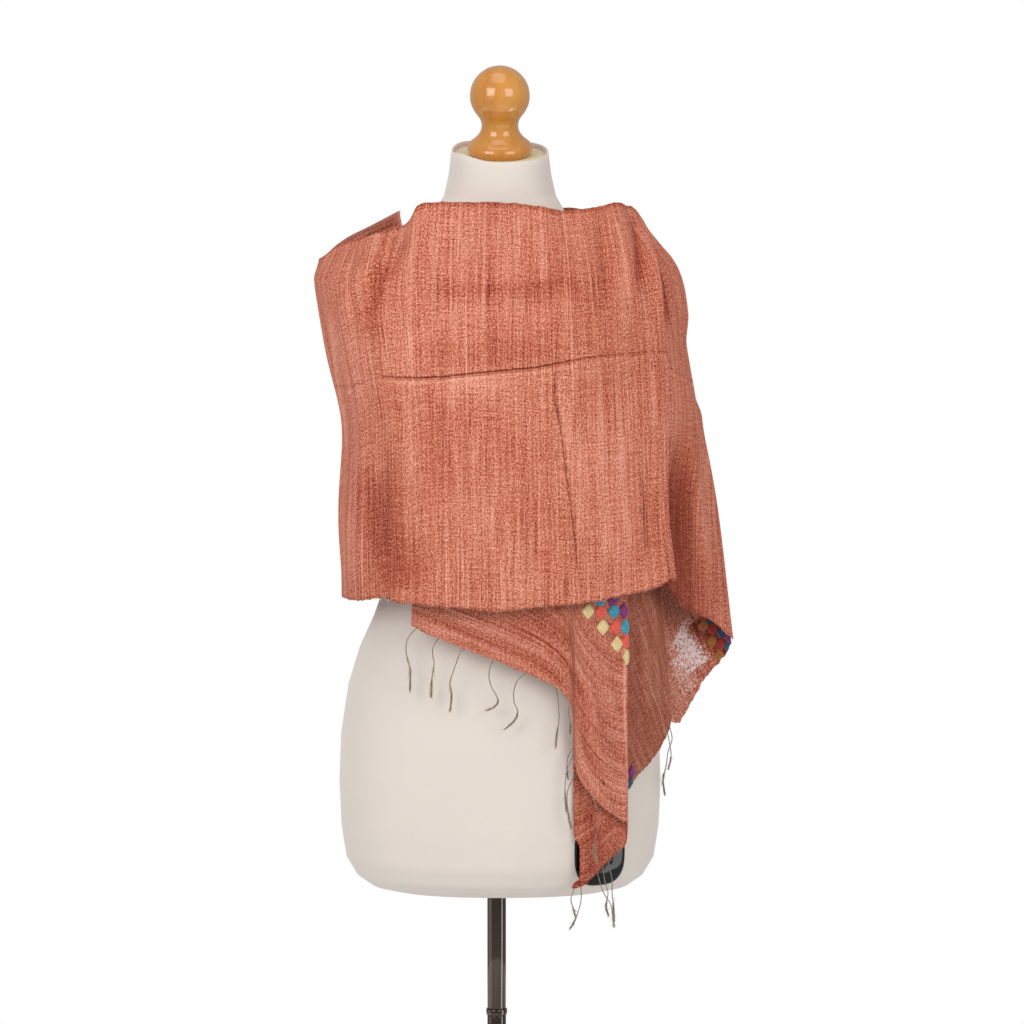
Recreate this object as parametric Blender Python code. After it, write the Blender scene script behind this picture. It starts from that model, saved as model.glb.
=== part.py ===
"""A raw silk stole wound round a limbless dress form that stands on a pole.

Metres, +Z up. The front of the form faces -Y and +X is the viewer's right.
The origin is the centre of the underside of the stand's base. Tables are in millimetres.
"""
import math

import bmesh
import bpy
from mathutils import Matrix, Vector

MM = 0.001
SEAM = 0.3              # clearance between pieces that meet, mm
CLOTH = 1.4             # thickness of the raw silk as a wall, mm

# The form's trunk: height, half width, depth to the front, depth to the back, mm.
TRUNK_SECTIONS = (
    (636, 118, 72, 80), (641, 138, 88, 96), (652, 153, 103, 110), (671, 164, 113, 119),
    (704, 169, 117, 122), (750, 171, 118, 124), (802, 169, 115, 122), (854, 161, 106, 112),
    (893, 149, 98, 98), (926, 134, 92, 86), (960, 122, 89, 77), (992, 116, 90, 74),
    (1032, 121, 99, 80), (1076, 131, 112, 92), (1120, 140, 126, 101), (1160, 147, 123.8, 107),
    (1200, 153, 107, 112.5), (1240, 160, 90, 114.6), (1268, 166, 80, 106), (1288, 166, 72, 95),
    (1303, 156, 65, 82), (1317, 136, 59, 75), (1330, 110, 55, 69), (1342, 85, 53, 64),
    (1354, 68, 52, 60), (1370, 59, 51, 56), (1392, 54, 50, 52), (1416, 51, 49, 50),
)
NECK_TOP = TRUNK_SECTIONS[-1][0]
TRUNK_SQUARENESS = 2.3
TRUNK_SIDES = 36
NECK_SHEAR_FROM = 1360  # above this height the rings lean forward
NECK_TILT = 15.4        # slope of the neck's top, degrees
RIM_WIDE = 1.8          # the neck's cover stands up as a rim round the cap
RIM_TALL = 5.0
CAP_RADIUS, CAP_THICK = 46.3, 1.6

# Turned wooden knob: radius and height above the cap along its own axis, mm.
KNOB_PROFILE = (
    (0, 94.0), (8.6, 92.9), (17.4, 88.7), (24.9, 81.6), (29.6, 73.0), (31.3, 62.5), (30.1, 53.8),
    (26.4, 46.0), (21.6, 39.5), (19.4, 33.5), (19.6, 28.0), (21.8, 22.5), (26.6, 17.0),
    (31.6, 13.0), (34.2, 8.5), (34.0, 4.5), (31.0, 0.0), (0, 0.0),
)
KNOB_SIDES = 28

# The stand, mm.
POLE_X = -3.7
POLE_RADIUS = 10.0
JOINT_HEIGHT = 500.0
JOINT_RADIUS, JOINT_TALL = 11.2, 7.0
BASE_PROFILE = (
    (0, 34.0), (15.0, 34.0), (19.0, 31.5), (20.5, 26.0), (21.5, 18.0), (26.0, 15.0),
    (90.0, 13.0), (150.0, 10.0), (166.0, 8.0), (170.0, 5.0), (170.0, 1.5), (168.0, 0.0), (0, 0.0),
)
POLE_SIDES = 20
BASE_SIDES = 48

# A bare oval plate on the form's lower front.
PATCH_CENTRE = (103.0, 690.0)
PATCH_HALF = (26.0, 38.5)
PATCH_SQUARENESS = 2.9
PATCH_THICK = 1.0
PATCH_CLEAR = 1.1

# The wound cloth. A row is one line of the cloth from its top selvedge to its hem, and gives
# (x, y, z) where it passes the neck edge, shoulder, upper chest, bust, waist and hem.
FRONT_ROWS = (
    ((-137, 70, 1334), (-155, 79, 1277), (-149, 89, 1205),
     (-140, 88, 1130), (-140, 90, 1040), (-142, 92, 939)),
    ((-166, 50, 1313), (-180, 50, 1274), (-166, 58, 1205),
     (-154, 60, 1130), (-156, 60, 1040), (-157, 60, 941)),
    ((-192, 12, 1290), (-196, 8, 1276), (-181, 10, 1205),
     (-165, 12, 1130), (-168, 12, 1040), (-168, 12, 947)),
    ((-183, -22, 1292), (-190, -26, 1276), (-175, -30, 1205),
     (-160, -40, 1130), (-163, -44, 1040), (-162, -44, 948)),
    ((-161, -44, 1304), (-172, -54, 1277), (-160, -66, 1205),
     (-147, -80, 1130), (-149, -84, 1040), (-148, -84, 950)),
    ((-131, -58, 1325), (-142, -76, 1280), (-134, -93, 1205),
     (-123, -107, 1130), (-123, -112, 1040), (-121, -113, 955)),
    ((-97, -68, 1336), (-112, -90, 1282), (-110, -107, 1205),
     (-104, -120, 1130), (-104, -125, 1040), (-103, -127, 952)),
    ((-84, -70, 1358), (-90, -95, 1283), (-86, -114, 1205),
     (-82, -128, 1130), (-82, -133, 1040), (-82, -135, 950)),
    ((-62, -70, 1361), (-66, -94, 1283), (-64, -116, 1205),
     (-62, -133, 1130), (-62, -137, 1040), (-62, -139, 949)),
    ((-30, -68, 1361), (-32, -91, 1283), (-32, -116, 1205),
     (-31, -135, 1130), (-31, -139, 1040), (-31, -142, 946)),
    ((0, -67, 1361), (0, -90, 1283), (0, -114, 1205),
     (0, -133, 1130), (0, -138, 1040), (0, -141, 944)),
    ((36, -65, 1358), (37, -88, 1283), (37, -112, 1205),
     (37, -131, 1130), (38, -137, 1040), (38, -140, 948)),
    ((67, -60, 1353), (74, -83, 1284), (77, -104, 1205),
     (79, -121, 1130), (81, -129, 1040), (82, -132, 951)),
    ((100, -50, 1357), (110, -70, 1286), (115, -88, 1205),
     (118, -104, 1130), (121, -115, 1040), (123, -119, 957)),
    ((122, -34, 1362), (141, -56, 1291), (149, -69, 1205),
     (152, -86, 1130), (154, -99, 1040), (157, -104, 964)),
    ((131, -24, 1359), (160, -42, 1296), (172, -54, 1205),
     (175, -70, 1130), (176, -84, 1040), (184, -83, 971)),
)
FLAP_ROWS = (
    ((132, -23, 1359), (161, -41, 1296), (173, -53, 1205),
     (176, -66, 1128), (176, -77, 1040), (181, -74, 962)),
    ((140, -13, 1357), (172, -30, 1294), (183, -38, 1205),
     (190, -50, 1130), (193, -58, 1040), (197, -50, 940)),
    ((146, -5, 1350), (181, -14, 1289), (194, -20, 1205),
     (206, -27, 1130), (214, -32, 1040), (223, -26, 923)),
    ((150, 6, 1344), (187, 6, 1286), (200, 6, 1205),
     (214, 8, 1130), (231, 8, 1040), (248, 4, 900)),
    ((146, 31, 1343), (181, 36, 1285), (193, 42, 1205),
     (203, 47, 1130), (214, 50, 1040), (226, 50, 914)),
    ((126, 62, 1350), (156, 72, 1287), (164, 84, 1205),
     (168, 90, 1130), (174, 96, 1040), (180, 98, 924)),
)
BACK_ROWS = (
    ((125, 62.6, 1350), (155, 72.6, 1287), (163, 84.6, 1205),
     (167, 90.6, 1130), (173, 96.6, 1040), (179, 98.6, 924)),
    ((92, 78, 1357), (112, 95, 1286), (118, 107, 1205),
     (117, 108, 1130), (117, 110, 1040), (119, 113, 929)),
    ((46, 83, 1361), (56, 105, 1285), (58, 118, 1205),
     (58, 114, 1130), (58, 112, 1040), (60, 115, 928)),
    ((0, 82, 1362), (0, 107, 1284), (0, 120, 1205),
     (0, 114, 1130), (0, 111, 1040), (0, 115, 931)),
    ((-46, 82, 1360), (-56, 105, 1284), (-58, 118, 1205),
     (-57, 113, 1130), (-57, 111, 1040), (-58, 115, 931)),
    ((-94, 79, 1352), (-110, 94, 1281), (-112, 107, 1205),
     (-108, 105, 1130), (-108, 106, 1040), (-110, 109, 936)),
    ((-136, 70.6, 1334), (-154, 79.6, 1277), (-148, 89.6, 1205),
     (-139, 88.6, 1130), (-139, 90.6, 1040), (-141, 92.6, 939)),
)
# The inner turn's stretch over the left shoulder: a row is an arch from front to back.
BAND_ROWS = (
    ((-99, -52, 1328), (-104, -28, 1347), (-106, 2, 1354), (-108, 30, 1349), (-107, 56, 1332)),
    ((-127, -46, 1316), (-133, -24, 1333), (-135, 4, 1339), (-136, 32, 1334), (-133, 52, 1316)),
    ((-150, -38, 1302), (-160, -18, 1319), (-164, 6, 1324), (-161, 30, 1318), (-154, 46, 1300)),
    ((-170.5, -30, 1290), (-180.5, -12, 1303), (-183, 8, 1307), (-180.5, 26, 1302), (-172.5, 40, 1288)),
    ((-178.6, -24, 1270), (-186.6, -10, 1280), (-189.6, 8, 1284), (-186.6, 24, 1278), (-177.6, 36, 1268)),
)
# Soft folds raised on the wound cloth: across and down as shares of the piece, half width
# and height in mm (negative is a groove), and where it starts and ends.
FOLD_NAMES = ("across", "half_width", "height", "start", "end", "lean")
FRONT_FOLDS = (
    (0.735, 5.0, -1.6, 0.02, 0.98, 0.02), (0.30, 16.0, 3.0, 0.02, 0.60, -0.06),
    (0.22, 15.0, 2.6, 0.15, 0.97, 0.03), (0.40, 15.0, -2.2, 0.30, 0.97, 0.02),
    (0.85, 13.0, 3.4, 0.00, 0.40, 0.03), (0.92, 10.0, -2.8, 0.00, 0.45, 0.02),
    (0.60, 18.0, 1.8, 0.45, 0.98, 0.00), (0.10, 14.0, -2.6, 0.20, 0.98, 0.00),
)
FLAP_FOLDS = (
    (0.28, 10.0, 3.0, 0.00, 0.75, 0.06), (0.45, 9.0, -3.0, 0.05, 0.70, 0.05),
    (0.80, 14.0, 3.6, 0.15, 0.98, 0.02),
)
BACK_FOLDS = (
    (0.18, 14.0, 3.2, 0.00, 0.70, 0.04), (0.33, 13.0, -2.6, 0.05, 0.98, 0.03),
    (0.66, 15.0, 3.0, 0.10, 0.98, -0.03), (0.86, 13.0, 3.4, 0.00, 0.75, -0.04),
)
CHEST_CREASE = {"height": 1166.0, "rise": 18.0, "from_x": -125.0, "to_x": 172.0,
                "depth": 1.5, "half_width": 5.0}
# Cells of each wall, across the rows and down them.
FRONT_CELLS, FLAP_CELLS, BACK_CELLS, BAND_CELLS = (30, 20), (12, 18), (16, 16), (8, 10)
TAIL_FRONT_CELLS, TAIL_BACK_CELLS, SIDE_CELLS, CORNER_CELLS = (20, 8), (10, 8), (12, 8), (12, 6)
HANGING_LEVELS = 4

# Inner end of the stole, hanging under the front panel and turned back at its right edge.
# A row is a line of the cloth: x and y at the top and at the end, and the end's height, mm.
TAIL_TOP = 1080.0
TAIL_NAMES = ("top_x", "top_y", "end_x", "end_y", "end_z")
TAIL_FRONT_ROWS = (
    (-87, -94.4, -91, -106, 926), (-68, -103.6, -72, -113, 917), (-37, -111.8, -38, -118, 904),
    (-6, -115.2, -6, -121, 892), (25, -113, 26, -123, 879), (52, -110, 56, -124, 865),
    (66, -108, 72, -124, 849), (72, -107, 76, -124, 815), (76, -106, 79, -124, 779),
    (88, -104, 91, -122, 757), (106, -98, 108, -116, 738), (124, -92, 124, -107, 726),
    (130.5, -91.5, 130.5, -105, 722), (132.5, -87.5, 132.5, -101.5, 718),
)
TAIL_BACK_TOP = 1000.0
TAIL_BACK_ROWS = (
    (132.5, -89.2, 132.5, -100.8, 700), (130.5, -86, 131, -97.5, 698), (122, -87, 123, -99, 690),
    (106, -94, 109, -107, 678), (92, -101, 97, -111, 667), (82, -103.5, 86, -114, 656),
    (74, -105, 77, -116, 657),
)
# Stretch of the outer end that shows between the inner end and the flap.
SIDE_TOP = 985.0
SIDE_ROWS = (
    (116, -82, 117, -94.8, 741), (126, -79, 129, -88.5, 748), (138, -74, 143, -80, 766),
    (148, -71, 155, -71, 777), (156, -62, 167, -58, 791), (162, -54, 176, -46, 806),
    (165, -46, 181, -38, 822), (163, -41, 177, -32, 826),
)
# Inside of the outer end, seen under the flap's hem.
CORNER_TOP = 1000.0
CORNER_ROWS = (
    (168, -18, 168, -20, 828), (174, -8, 176, -10, 820), (182, 4, 184, -2, 812),
    (192, 12, 193, 6, 813), (202, 17, 205, 12, 833), (213, 19, 218, 16, 855),
    (222, 18, 229, 16, 868), (229, 14, 241, 10, 884), (233, 8, 246, 4, 897),
)

# Fringe strips: half height and thickness, and the threads' radius, mm.
STRIP_TALL, STRIP_THICK = 4.0, 1.6
STRIP_GAP = 0.5
THREAD_SIDES = 3
THREAD_RADIUS = 0.9
# Threads of the inner end's front edge: where along the strip each starts (0 to 1), then its
# steps right and down, mm.
TAIL_THREADS = (
    (0.05, ((-9, 12), (-1, 20), (3, 11), (1, 24))),
    (0.14, ((-7, 7), (1, 15), (-1, 15), (-1, 22))),
    (0.26, ((-5, 5), (-6, 16), (-5, 15), (0, 28))),
    (0.36, ((-4, 10), (0, 15), (7, 14), (2, 6), (-13, 10))),
    (0.48, ((-9, 9), (-4, 13), (1, 11), (5, 9), (-8, 10), (-8, 8))),
    (0.61, ((1, 15), (1, 18), (-2, 17), (-1, 14))),
    (0.68, ((-1, 12), (2, 11), (0, 11))),
    (0.79, ((-3, 16), (2, 18), (1, 16))),
    (0.93, ((-7, 14), (-2, 24), (0, 26), (3, 20))),
)
TIP_THREADS = (
    (0.20, ((2, 16), (3, 13), (0, 12), (2, 18))),
    (0.45, ((-2, 14), (1, 16), (5, 12), (2, 16))),
    (0.72, ((-1, 12), (-2, 22), (-5, 12), (-5, 8))),
    (0.90, ((-1, 10), (1, 14), (4, 15), (2, 10))),
)
SIDE_THREADS = (
    (0.10, ((1, 14), (-4, 20), (-2, 12), (-3, 12), (2, 13))),
)

# Colours taken from the object by eye: colour, roughness, metallic.
FINISHES = {
    "silk": ((0.50, 0.17, 0.10), 0.62, 0.0),
    "silk_shade": ((0.36, 0.12, 0.075), 0.66, 0.0),
    "thread": ((0.42, 0.33, 0.24), 0.8, 0.0),
    "jersey": ((0.78, 0.72, 0.66), 0.85, 0.0),
    "cap": ((0.76, 0.70, 0.52), 0.7, 0.0),
    "wood": ((0.72, 0.36, 0.10), 0.22, 0.0),
    "dark_metal": ((0.10, 0.085, 0.075), 0.22, 0.9),
    "black_plate": ((0.012, 0.012, 0.012), 0.2, 0.0),
}


def clear_scene():
    for obj in list(bpy.data.objects):
        bpy.data.objects.remove(obj, do_unlink=True)


def finish_material(name, finish):
    colour, roughness, metallic = FINISHES[finish]
    material = bpy.data.materials.new(name)
    material.use_nodes = True
    shader = material.node_tree.nodes["Principled BSDF"]
    shader.inputs["Base Color"].default_value = (*colour, 1.0)
    shader.inputs["Roughness"].default_value = roughness
    shader.inputs["Metallic"].default_value = metallic
    return material


def make_object(name, verts, faces, finish):
    """A closed mesh from points in millimetres, with its faces turned outwards."""
    mesh = bpy.data.meshes.new(name)
    mesh.from_pydata([tuple(c * MM for c in v) for v in verts], [], faces)
    shell = bmesh.new()
    shell.from_mesh(mesh)
    bmesh.ops.recalc_face_normals(shell, faces=shell.faces)
    bmesh.ops.triangulate(shell, faces=shell.faces)
    if shell.calc_volume(signed=True) < 0:
        bmesh.ops.reverse_faces(shell, faces=shell.faces)
    shell.to_mesh(mesh)
    shell.free()
    mesh.materials.append(finish_material(name, finish))
    obj = bpy.data.objects.new(name, mesh)
    bpy.context.scene.collection.objects.link(obj)
    mesh.shade_smooth()
    mesh.set_sharp_from_angle(angle=math.radians(40))
    return obj


def catmull(points, t):
    """Smooth curve through points, t from 0 to 1 over its whole length."""
    last = len(points) - 1
    place = min(max(t, 0.0), 1.0) * last
    i = min(int(place), last - 1)
    u = place - i
    p1, p2 = points[i], points[i + 1]
    p0 = points[i - 1] if i else p1 * 2 - p2
    p3 = points[i + 2] if i + 2 <= last else p2 * 2 - p1
    return (p1 * 2 + (p2 - p0) * u + (p0 * 2 - p1 * 5 + p2 * 4 - p3) * u ** 2
            + (p1 * 3 - p0 - p2 * 3 + p3) * u ** 3) * 0.5


def surface_grid(rows, across, down):
    """Points of a surface through the rows, across by down of them."""
    lines = [[catmull(row, j / down) for j in range(down + 1)] for row in rows]
    grid = []
    for i in range(across + 1):
        grid.append([catmull([line[j] for line in lines], i / across) for j in range(down + 1)])
    return grid


def grid_normals(grid):
    """Unit normals at the grid's points, from the points beside them."""
    wide, tall = len(grid), len(grid[0])
    normals = []
    for i in range(wide):
        column = []
        for j in range(tall):
            along = grid[min(i + 1, wide - 1)][j] - grid[max(i - 1, 0)][j]
            down = grid[i][min(j + 1, tall - 1)] - grid[i][max(j - 1, 0)]
            column.append(down.cross(along).normalized())
        normals.append(column)
    return normals


def smooth_bump(distance, half_width):
    return math.exp(-(distance / half_width) ** 2)


def fade(value, start, end, soft=0.08):
    """1 between start and end, falling softly to 0 outside them."""
    rise = min(max((value - start) / soft + 0.5, 0.0), 1.0)
    fall = min(max((end - value) / soft + 0.5, 0.0), 1.0)
    return rise * fall


def fold_height(folds, i_share, j_share, width):
    """Total height of the soft folds at a place on the piece, in mm."""
    total = 0.0
    for row in folds:
        fold = dict(zip(FOLD_NAMES, row))
        middle = fold["across"] + fold["lean"] * (j_share - 0.5)
        near = smooth_bump((i_share - middle) * width, fold["half_width"])
        total += fold["height"] * near * fade(j_share, fold["start"], fold["end"])
    return total


def chest_crease(point):
    """The groove that a storage fold leaves across the chest."""
    crease = CHEST_CREASE
    share = (point.x - crease["from_x"]) / (crease["to_x"] - crease["from_x"])
    if not 0.0 < share < 1.0 or point.y > 0:
        return 0.0
    height = crease["height"] + crease["rise"] * share
    near = smooth_bump(point.z - height, crease["half_width"])
    return -crease["depth"] * near * fade(share, 0.05, 0.95)


def fold_grid(grid, folds, crease=False):
    """Moves a grid's points along their normals by its folds."""
    normals = grid_normals(grid)
    wide, tall = len(grid) - 1, len(grid[0]) - 1
    width = sum((grid[i + 1][tall // 2] - grid[i][tall // 2]).length for i in range(wide))
    moved = []
    for i, column in enumerate(grid):
        line = []
        for j, point in enumerate(column):
            height = fold_height(folds, i / wide, j / tall, width)
            if crease:
                height += chest_crease(point)
            line.append(point + normals[i][j] * height)
        moved.append(line)
    return moved


def cloth_wall(name, grid, finish, thick=CLOTH):
    """A closed wall of cloth with the grid as its middle."""
    normals = grid_normals(grid)
    wide, tall = len(grid), len(grid[0])
    verts = []
    for side in (0.5, -0.5):
        for i in range(wide):
            for j in range(tall):
                verts.append(grid[i][j] + normals[i][j] * (thick * side))
    inner = wide * tall

    def index(i, j):
        return i * tall + j

    faces = []
    for i in range(wide - 1):
        for j in range(tall - 1):
            a, b, c, d = index(i, j), index(i + 1, j), index(i + 1, j + 1), index(i, j + 1)
            faces.append((a, b, c, d))
            faces.append((d + inner, c + inner, b + inner, a + inner))
    rim = [index(i, 0) for i in range(wide)]
    rim += [index(wide - 1, j) for j in range(1, tall)]
    rim += [index(i, tall - 1) for i in range(wide - 2, -1, -1)]
    rim += [index(0, j) for j in range(tall - 2, 0, -1)]
    for k, a in enumerate(rim):
        b = rim[(k + 1) % len(rim)]
        faces.append((b, a, a + inner, b + inner))
    return make_object(name, verts, faces, finish)


def vectors(rows):
    return [[Vector(point) for point in row] for row in rows]


def hanging_rows(rows, top):
    """Rows of a hanging end, with their points spread from the top to the end."""
    lines = []
    for row in rows:
        cut = dict(zip(TAIL_NAMES, row))
        start = Vector((cut["top_x"], cut["top_y"], top))
        end = Vector((cut["end_x"], cut["end_y"], cut["end_z"]))
        lines.append([start.lerp(end, k / HANGING_LEVELS) for k in range(HANGING_LEVELS + 1)])
    return lines


def turned(name, profile, sides, finish, place):
    """A solid turned round Z from pairs of radius and height, the first and last on the axis."""
    verts = [Vector((0, 0, profile[0][1]))]
    rings = profile[1:-1]
    for radius, height in rings:
        for k in range(sides):
            angle = 2 * math.pi * k / sides
            verts.append(Vector((radius * math.cos(angle), radius * math.sin(angle), height)))
    verts.append(Vector((0, 0, profile[-1][1])))
    faces = []
    for k in range(sides):
        after = (k + 1) % sides
        faces.append((0, 1 + k, 1 + after))
        for r in range(len(rings) - 1):
            a, b = 1 + r * sides, 1 + (r + 1) * sides
            faces.append((a + k, b + k, b + after, a + after))
        last = 1 + (len(rings) - 1) * sides
        faces.append((last + k, len(verts) - 1, last + after))
    return make_object(name, [place @ v for v in verts], faces, finish)


def trunk_section(height):
    """Half width, front and back depth of the trunk at a height, between the table's rows."""
    rows = TRUNK_SECTIONS
    for low, high in zip(rows, rows[1:]):
        if height <= high[0]:
            share = max((height - low[0]) / (high[0] - low[0]), 0.0)
            return [a + (b - a) * share for a, b in zip(low[1:], high[1:])]
    return rows[-1][1:]


def rounded(turn, squareness):
    """Cosine and sine of a turn, pushed outwards towards a square's."""
    power = 2 / squareness
    return [math.copysign(abs(part) ** power, part) for part in (math.cos(turn), math.sin(turn))]


def trunk_point(angle, height, out=0.0, sunk=0.0):
    """A point of the trunk's skin, moved out and down; angle 0 is the front, 90 the right."""
    half, front, back = trunk_section(height)
    ahead, side = rounded(angle, TRUNK_SQUARENESS)
    x = (half + out) * side
    y = -((front if ahead > 0 else back) + out) * ahead
    lean = min(max((height - NECK_SHEAR_FROM) / (NECK_TOP - NECK_SHEAR_FROM), 0.0), 1.0)
    return Vector((x, y, height - sunk + lean * math.tan(math.radians(NECK_TILT)) * y))


def build_trunk():
    rings = [(height, 0.0, 0.0) for height, *_ in TRUNK_SECTIONS]
    rings += [(NECK_TOP, -RIM_WIDE, 0.0), (NECK_TOP, -RIM_WIDE, RIM_TALL)]
    verts, faces = [], []
    for height, out, sunk in rings:
        for k in range(TRUNK_SIDES):
            verts.append(trunk_point(2 * math.pi * k / TRUNK_SIDES, height, out, sunk))
    for r in range(len(rings) - 1):
        for k in range(TRUNK_SIDES):
            a, b = r * TRUNK_SIDES, (r + 1) * TRUNK_SIDES
            after = (k + 1) % TRUNK_SIDES
            faces.append((a + k, a + after, b + after, b + k))
    faces.append(tuple(range(TRUNK_SIDES - 1, -1, -1)))
    top = (len(rings) - 1) * TRUNK_SIDES
    faces.append(tuple(range(top, top + TRUNK_SIDES)))
    return make_object("form_trunk", verts, faces, "jersey")


def neck_frame(lift):
    """Place of the pieces on the neck's sloping top, inside its rim."""
    tilt = math.radians(NECK_TILT)
    up = Vector((0, -math.sin(tilt), math.cos(tilt)))
    centre = Vector((0, 0, NECK_TOP - RIM_TALL)) + up * lift
    return Matrix.Translation(centre) @ Matrix.Rotation(tilt, 4, "X")


def build_neck():
    edge = 0.6
    profile = ((0, CAP_THICK), (CAP_RADIUS - edge, CAP_THICK), (CAP_RADIUS, CAP_THICK - edge),
               (CAP_RADIUS, 0), (0, 0))
    turned("form_neck_cap", profile, KNOB_SIDES, "cap", neck_frame(SEAM))
    turned("form_knob", KNOB_PROFILE, KNOB_SIDES, "wood", neck_frame(CAP_THICK + SEAM * 2))


def build_stand():
    def tube(name, radius, low, high):
        edge = 0.6
        profile = ((0, high), (radius - edge, high), (radius, high - edge),
                   (radius, low + edge), (radius - edge, low), (0, low))
        turned(name, profile, POLE_SIDES, "dark_metal", Matrix.Translation((POLE_X, 0, 0)))

    joint_low = JOINT_HEIGHT - JOINT_TALL / 2
    joint_high = JOINT_HEIGHT + JOINT_TALL / 2
    tube("stand_pole_upper", POLE_RADIUS, joint_high + SEAM, TRUNK_SECTIONS[0][0] - SEAM)
    tube("stand_joint", JOINT_RADIUS, joint_low, joint_high)
    tube("stand_pole_lower", POLE_RADIUS, BASE_PROFILE[0][1] + SEAM, joint_low - SEAM)
    turned("stand_base", BASE_PROFILE, BASE_SIDES, "dark_metal", Matrix.Translation((POLE_X, 0, 0)))


def angle_at(x, height):
    """Angle round the trunk's front where its skin reaches x."""
    share = min(abs(x) / trunk_section(height)[0], 1.0)
    return math.copysign(math.asin(share ** (TRUNK_SQUARENESS / 2)), x)


def build_patch():
    """The bare oval plate: rings of points laid on the trunk's skin, inside and outside."""
    ring_shares, sides = (1.0, 0.75, 0.5, 0.25), 24
    verts, faces = [], []
    for out in (PATCH_CLEAR + PATCH_THICK, PATCH_CLEAR):
        for share in ring_shares:
            for k in range(sides):
                right, up = rounded(2 * math.pi * k / sides, PATCH_SQUARENESS)
                x = PATCH_CENTRE[0] + PATCH_HALF[0] * share * right
                z = PATCH_CENTRE[1] + PATCH_HALF[1] * share * up
                verts.append(trunk_point(angle_at(x, z), z, out))
        verts.append(trunk_point(angle_at(*PATCH_CENTRE), PATCH_CENTRE[1], out))
    half = len(verts) // 2
    for base in (0, half):
        for k in range(sides):
            after = (k + 1) % sides
            for r in range(len(ring_shares) - 1):
                a, b = base + r * sides, base + (r + 1) * sides
                faces.append((a + k, a + after, b + after, b + k))
            last = base + (len(ring_shares) - 1) * sides
            faces.append((last + k, last + after, base + half - 1))
    for k in range(sides):
        after = (k + 1) % sides
        faces.append((k, after, after + half, k + half))
    make_object("form_patch", verts, faces, "black_plate")


def build_wound_cloth():
    front = fold_grid(surface_grid(vectors(FRONT_ROWS), *FRONT_CELLS), FRONT_FOLDS, crease=True)
    cloth_wall("scarf_front", front, "silk")
    flap = fold_grid(surface_grid(vectors(FLAP_ROWS), *FLAP_CELLS), FLAP_FOLDS)
    cloth_wall("scarf_flap", flap, "silk")
    back = fold_grid(surface_grid(vectors(BACK_ROWS), *BACK_CELLS), BACK_FOLDS)
    cloth_wall("scarf_back", back, "silk")
    band = surface_grid(vectors(BAND_ROWS), *BAND_CELLS)
    cloth_wall("scarf_shoulder_band", band, "silk_shade")


def build_hanging_ends():
    grids = {}
    pieces = (
        ("scarf_tail_front", TAIL_FRONT_ROWS, TAIL_TOP, TAIL_FRONT_CELLS, "silk"),
        ("scarf_tail_back", TAIL_BACK_ROWS, TAIL_BACK_TOP, TAIL_BACK_CELLS, "silk_shade"),
        ("scarf_side", SIDE_ROWS, SIDE_TOP, SIDE_CELLS, "silk_shade"),
        ("scarf_corner", CORNER_ROWS, CORNER_TOP, CORNER_CELLS, "silk_shade"),
    )
    for name, rows, top, cells, finish in pieces:
        grids[name] = surface_grid(hanging_rows(rows, top), *cells)
        cloth_wall(name, grids[name], finish)
    return grids


def polyline_at(points, share):
    """A point at a share of a polyline's length."""
    lengths = [(b - a).length for a, b in zip(points, points[1:])]
    left = share * sum(lengths)
    for a, b, length in zip(points, points[1:], lengths):
        if left <= length:
            return a.lerp(b, left / length)
        left -= length
    return points[-1]


def strip_mesh(edge, normals):
    """A narrow strip just off an edge of the cloth, in the cloth's own plane."""
    verts, faces, top = [], [], []
    for i, point in enumerate(edge):
        along = (edge[min(i + 1, len(edge) - 1)] - edge[max(i - 1, 0)]).normalized()
        out = along.cross(normals[i]).normalized()
        start = point + out * (SEAM + STRIP_GAP)
        low = start + out * STRIP_TALL
        n = normals[i] * (STRIP_THICK / 2)
        verts += [start + n, start - n, low - n, low + n]
        top.append(start.lerp(low, 0.5))
    for i in range(len(edge) - 1):
        a, b = i * 4, (i + 1) * 4
        for k in range(4):
            after = (k + 1) % 4
            faces.append((a + k, b + k, b + after, a + after))
    faces.append((0, 1, 2, 3))
    end = (len(edge) - 1) * 4
    faces.append((end + 3, end + 2, end + 1, end))
    return verts, faces, top


def thread_mesh(route):
    """A thin three sided thread along a route, with a thicker, frayed lower third."""
    verts, faces = [], []
    steps = (len(route) - 1) * 2
    points = [catmull(route, k / steps) for k in range(steps + 1)]
    for i, point in enumerate(points):
        along = (points[min(i + 1, steps)] - points[max(i - 1, 0)]).normalized()
        side = along.cross(Vector((0, 1, 0))).normalized()
        other = along.cross(side).normalized()
        radius = THREAD_RADIUS * (1.5 if steps * 0.62 < i < steps else 1.0)
        for k in range(THREAD_SIDES):
            turn = 2 * math.pi * k / THREAD_SIDES
            verts.append(point + (side * math.cos(turn) + other * math.sin(turn)) * radius)
    for i in range(steps):
        a, b = i * THREAD_SIDES, (i + 1) * THREAD_SIDES
        for k in range(THREAD_SIDES):
            after = (k + 1) % THREAD_SIDES
            faces.append((a + k, a + after, b + after, b + k))
    faces.append(tuple(range(THREAD_SIDES)))
    end = steps * THREAD_SIDES
    faces.append(tuple(range(end + THREAD_SIDES - 1, end - 1, -1)))
    return verts, faces


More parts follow.
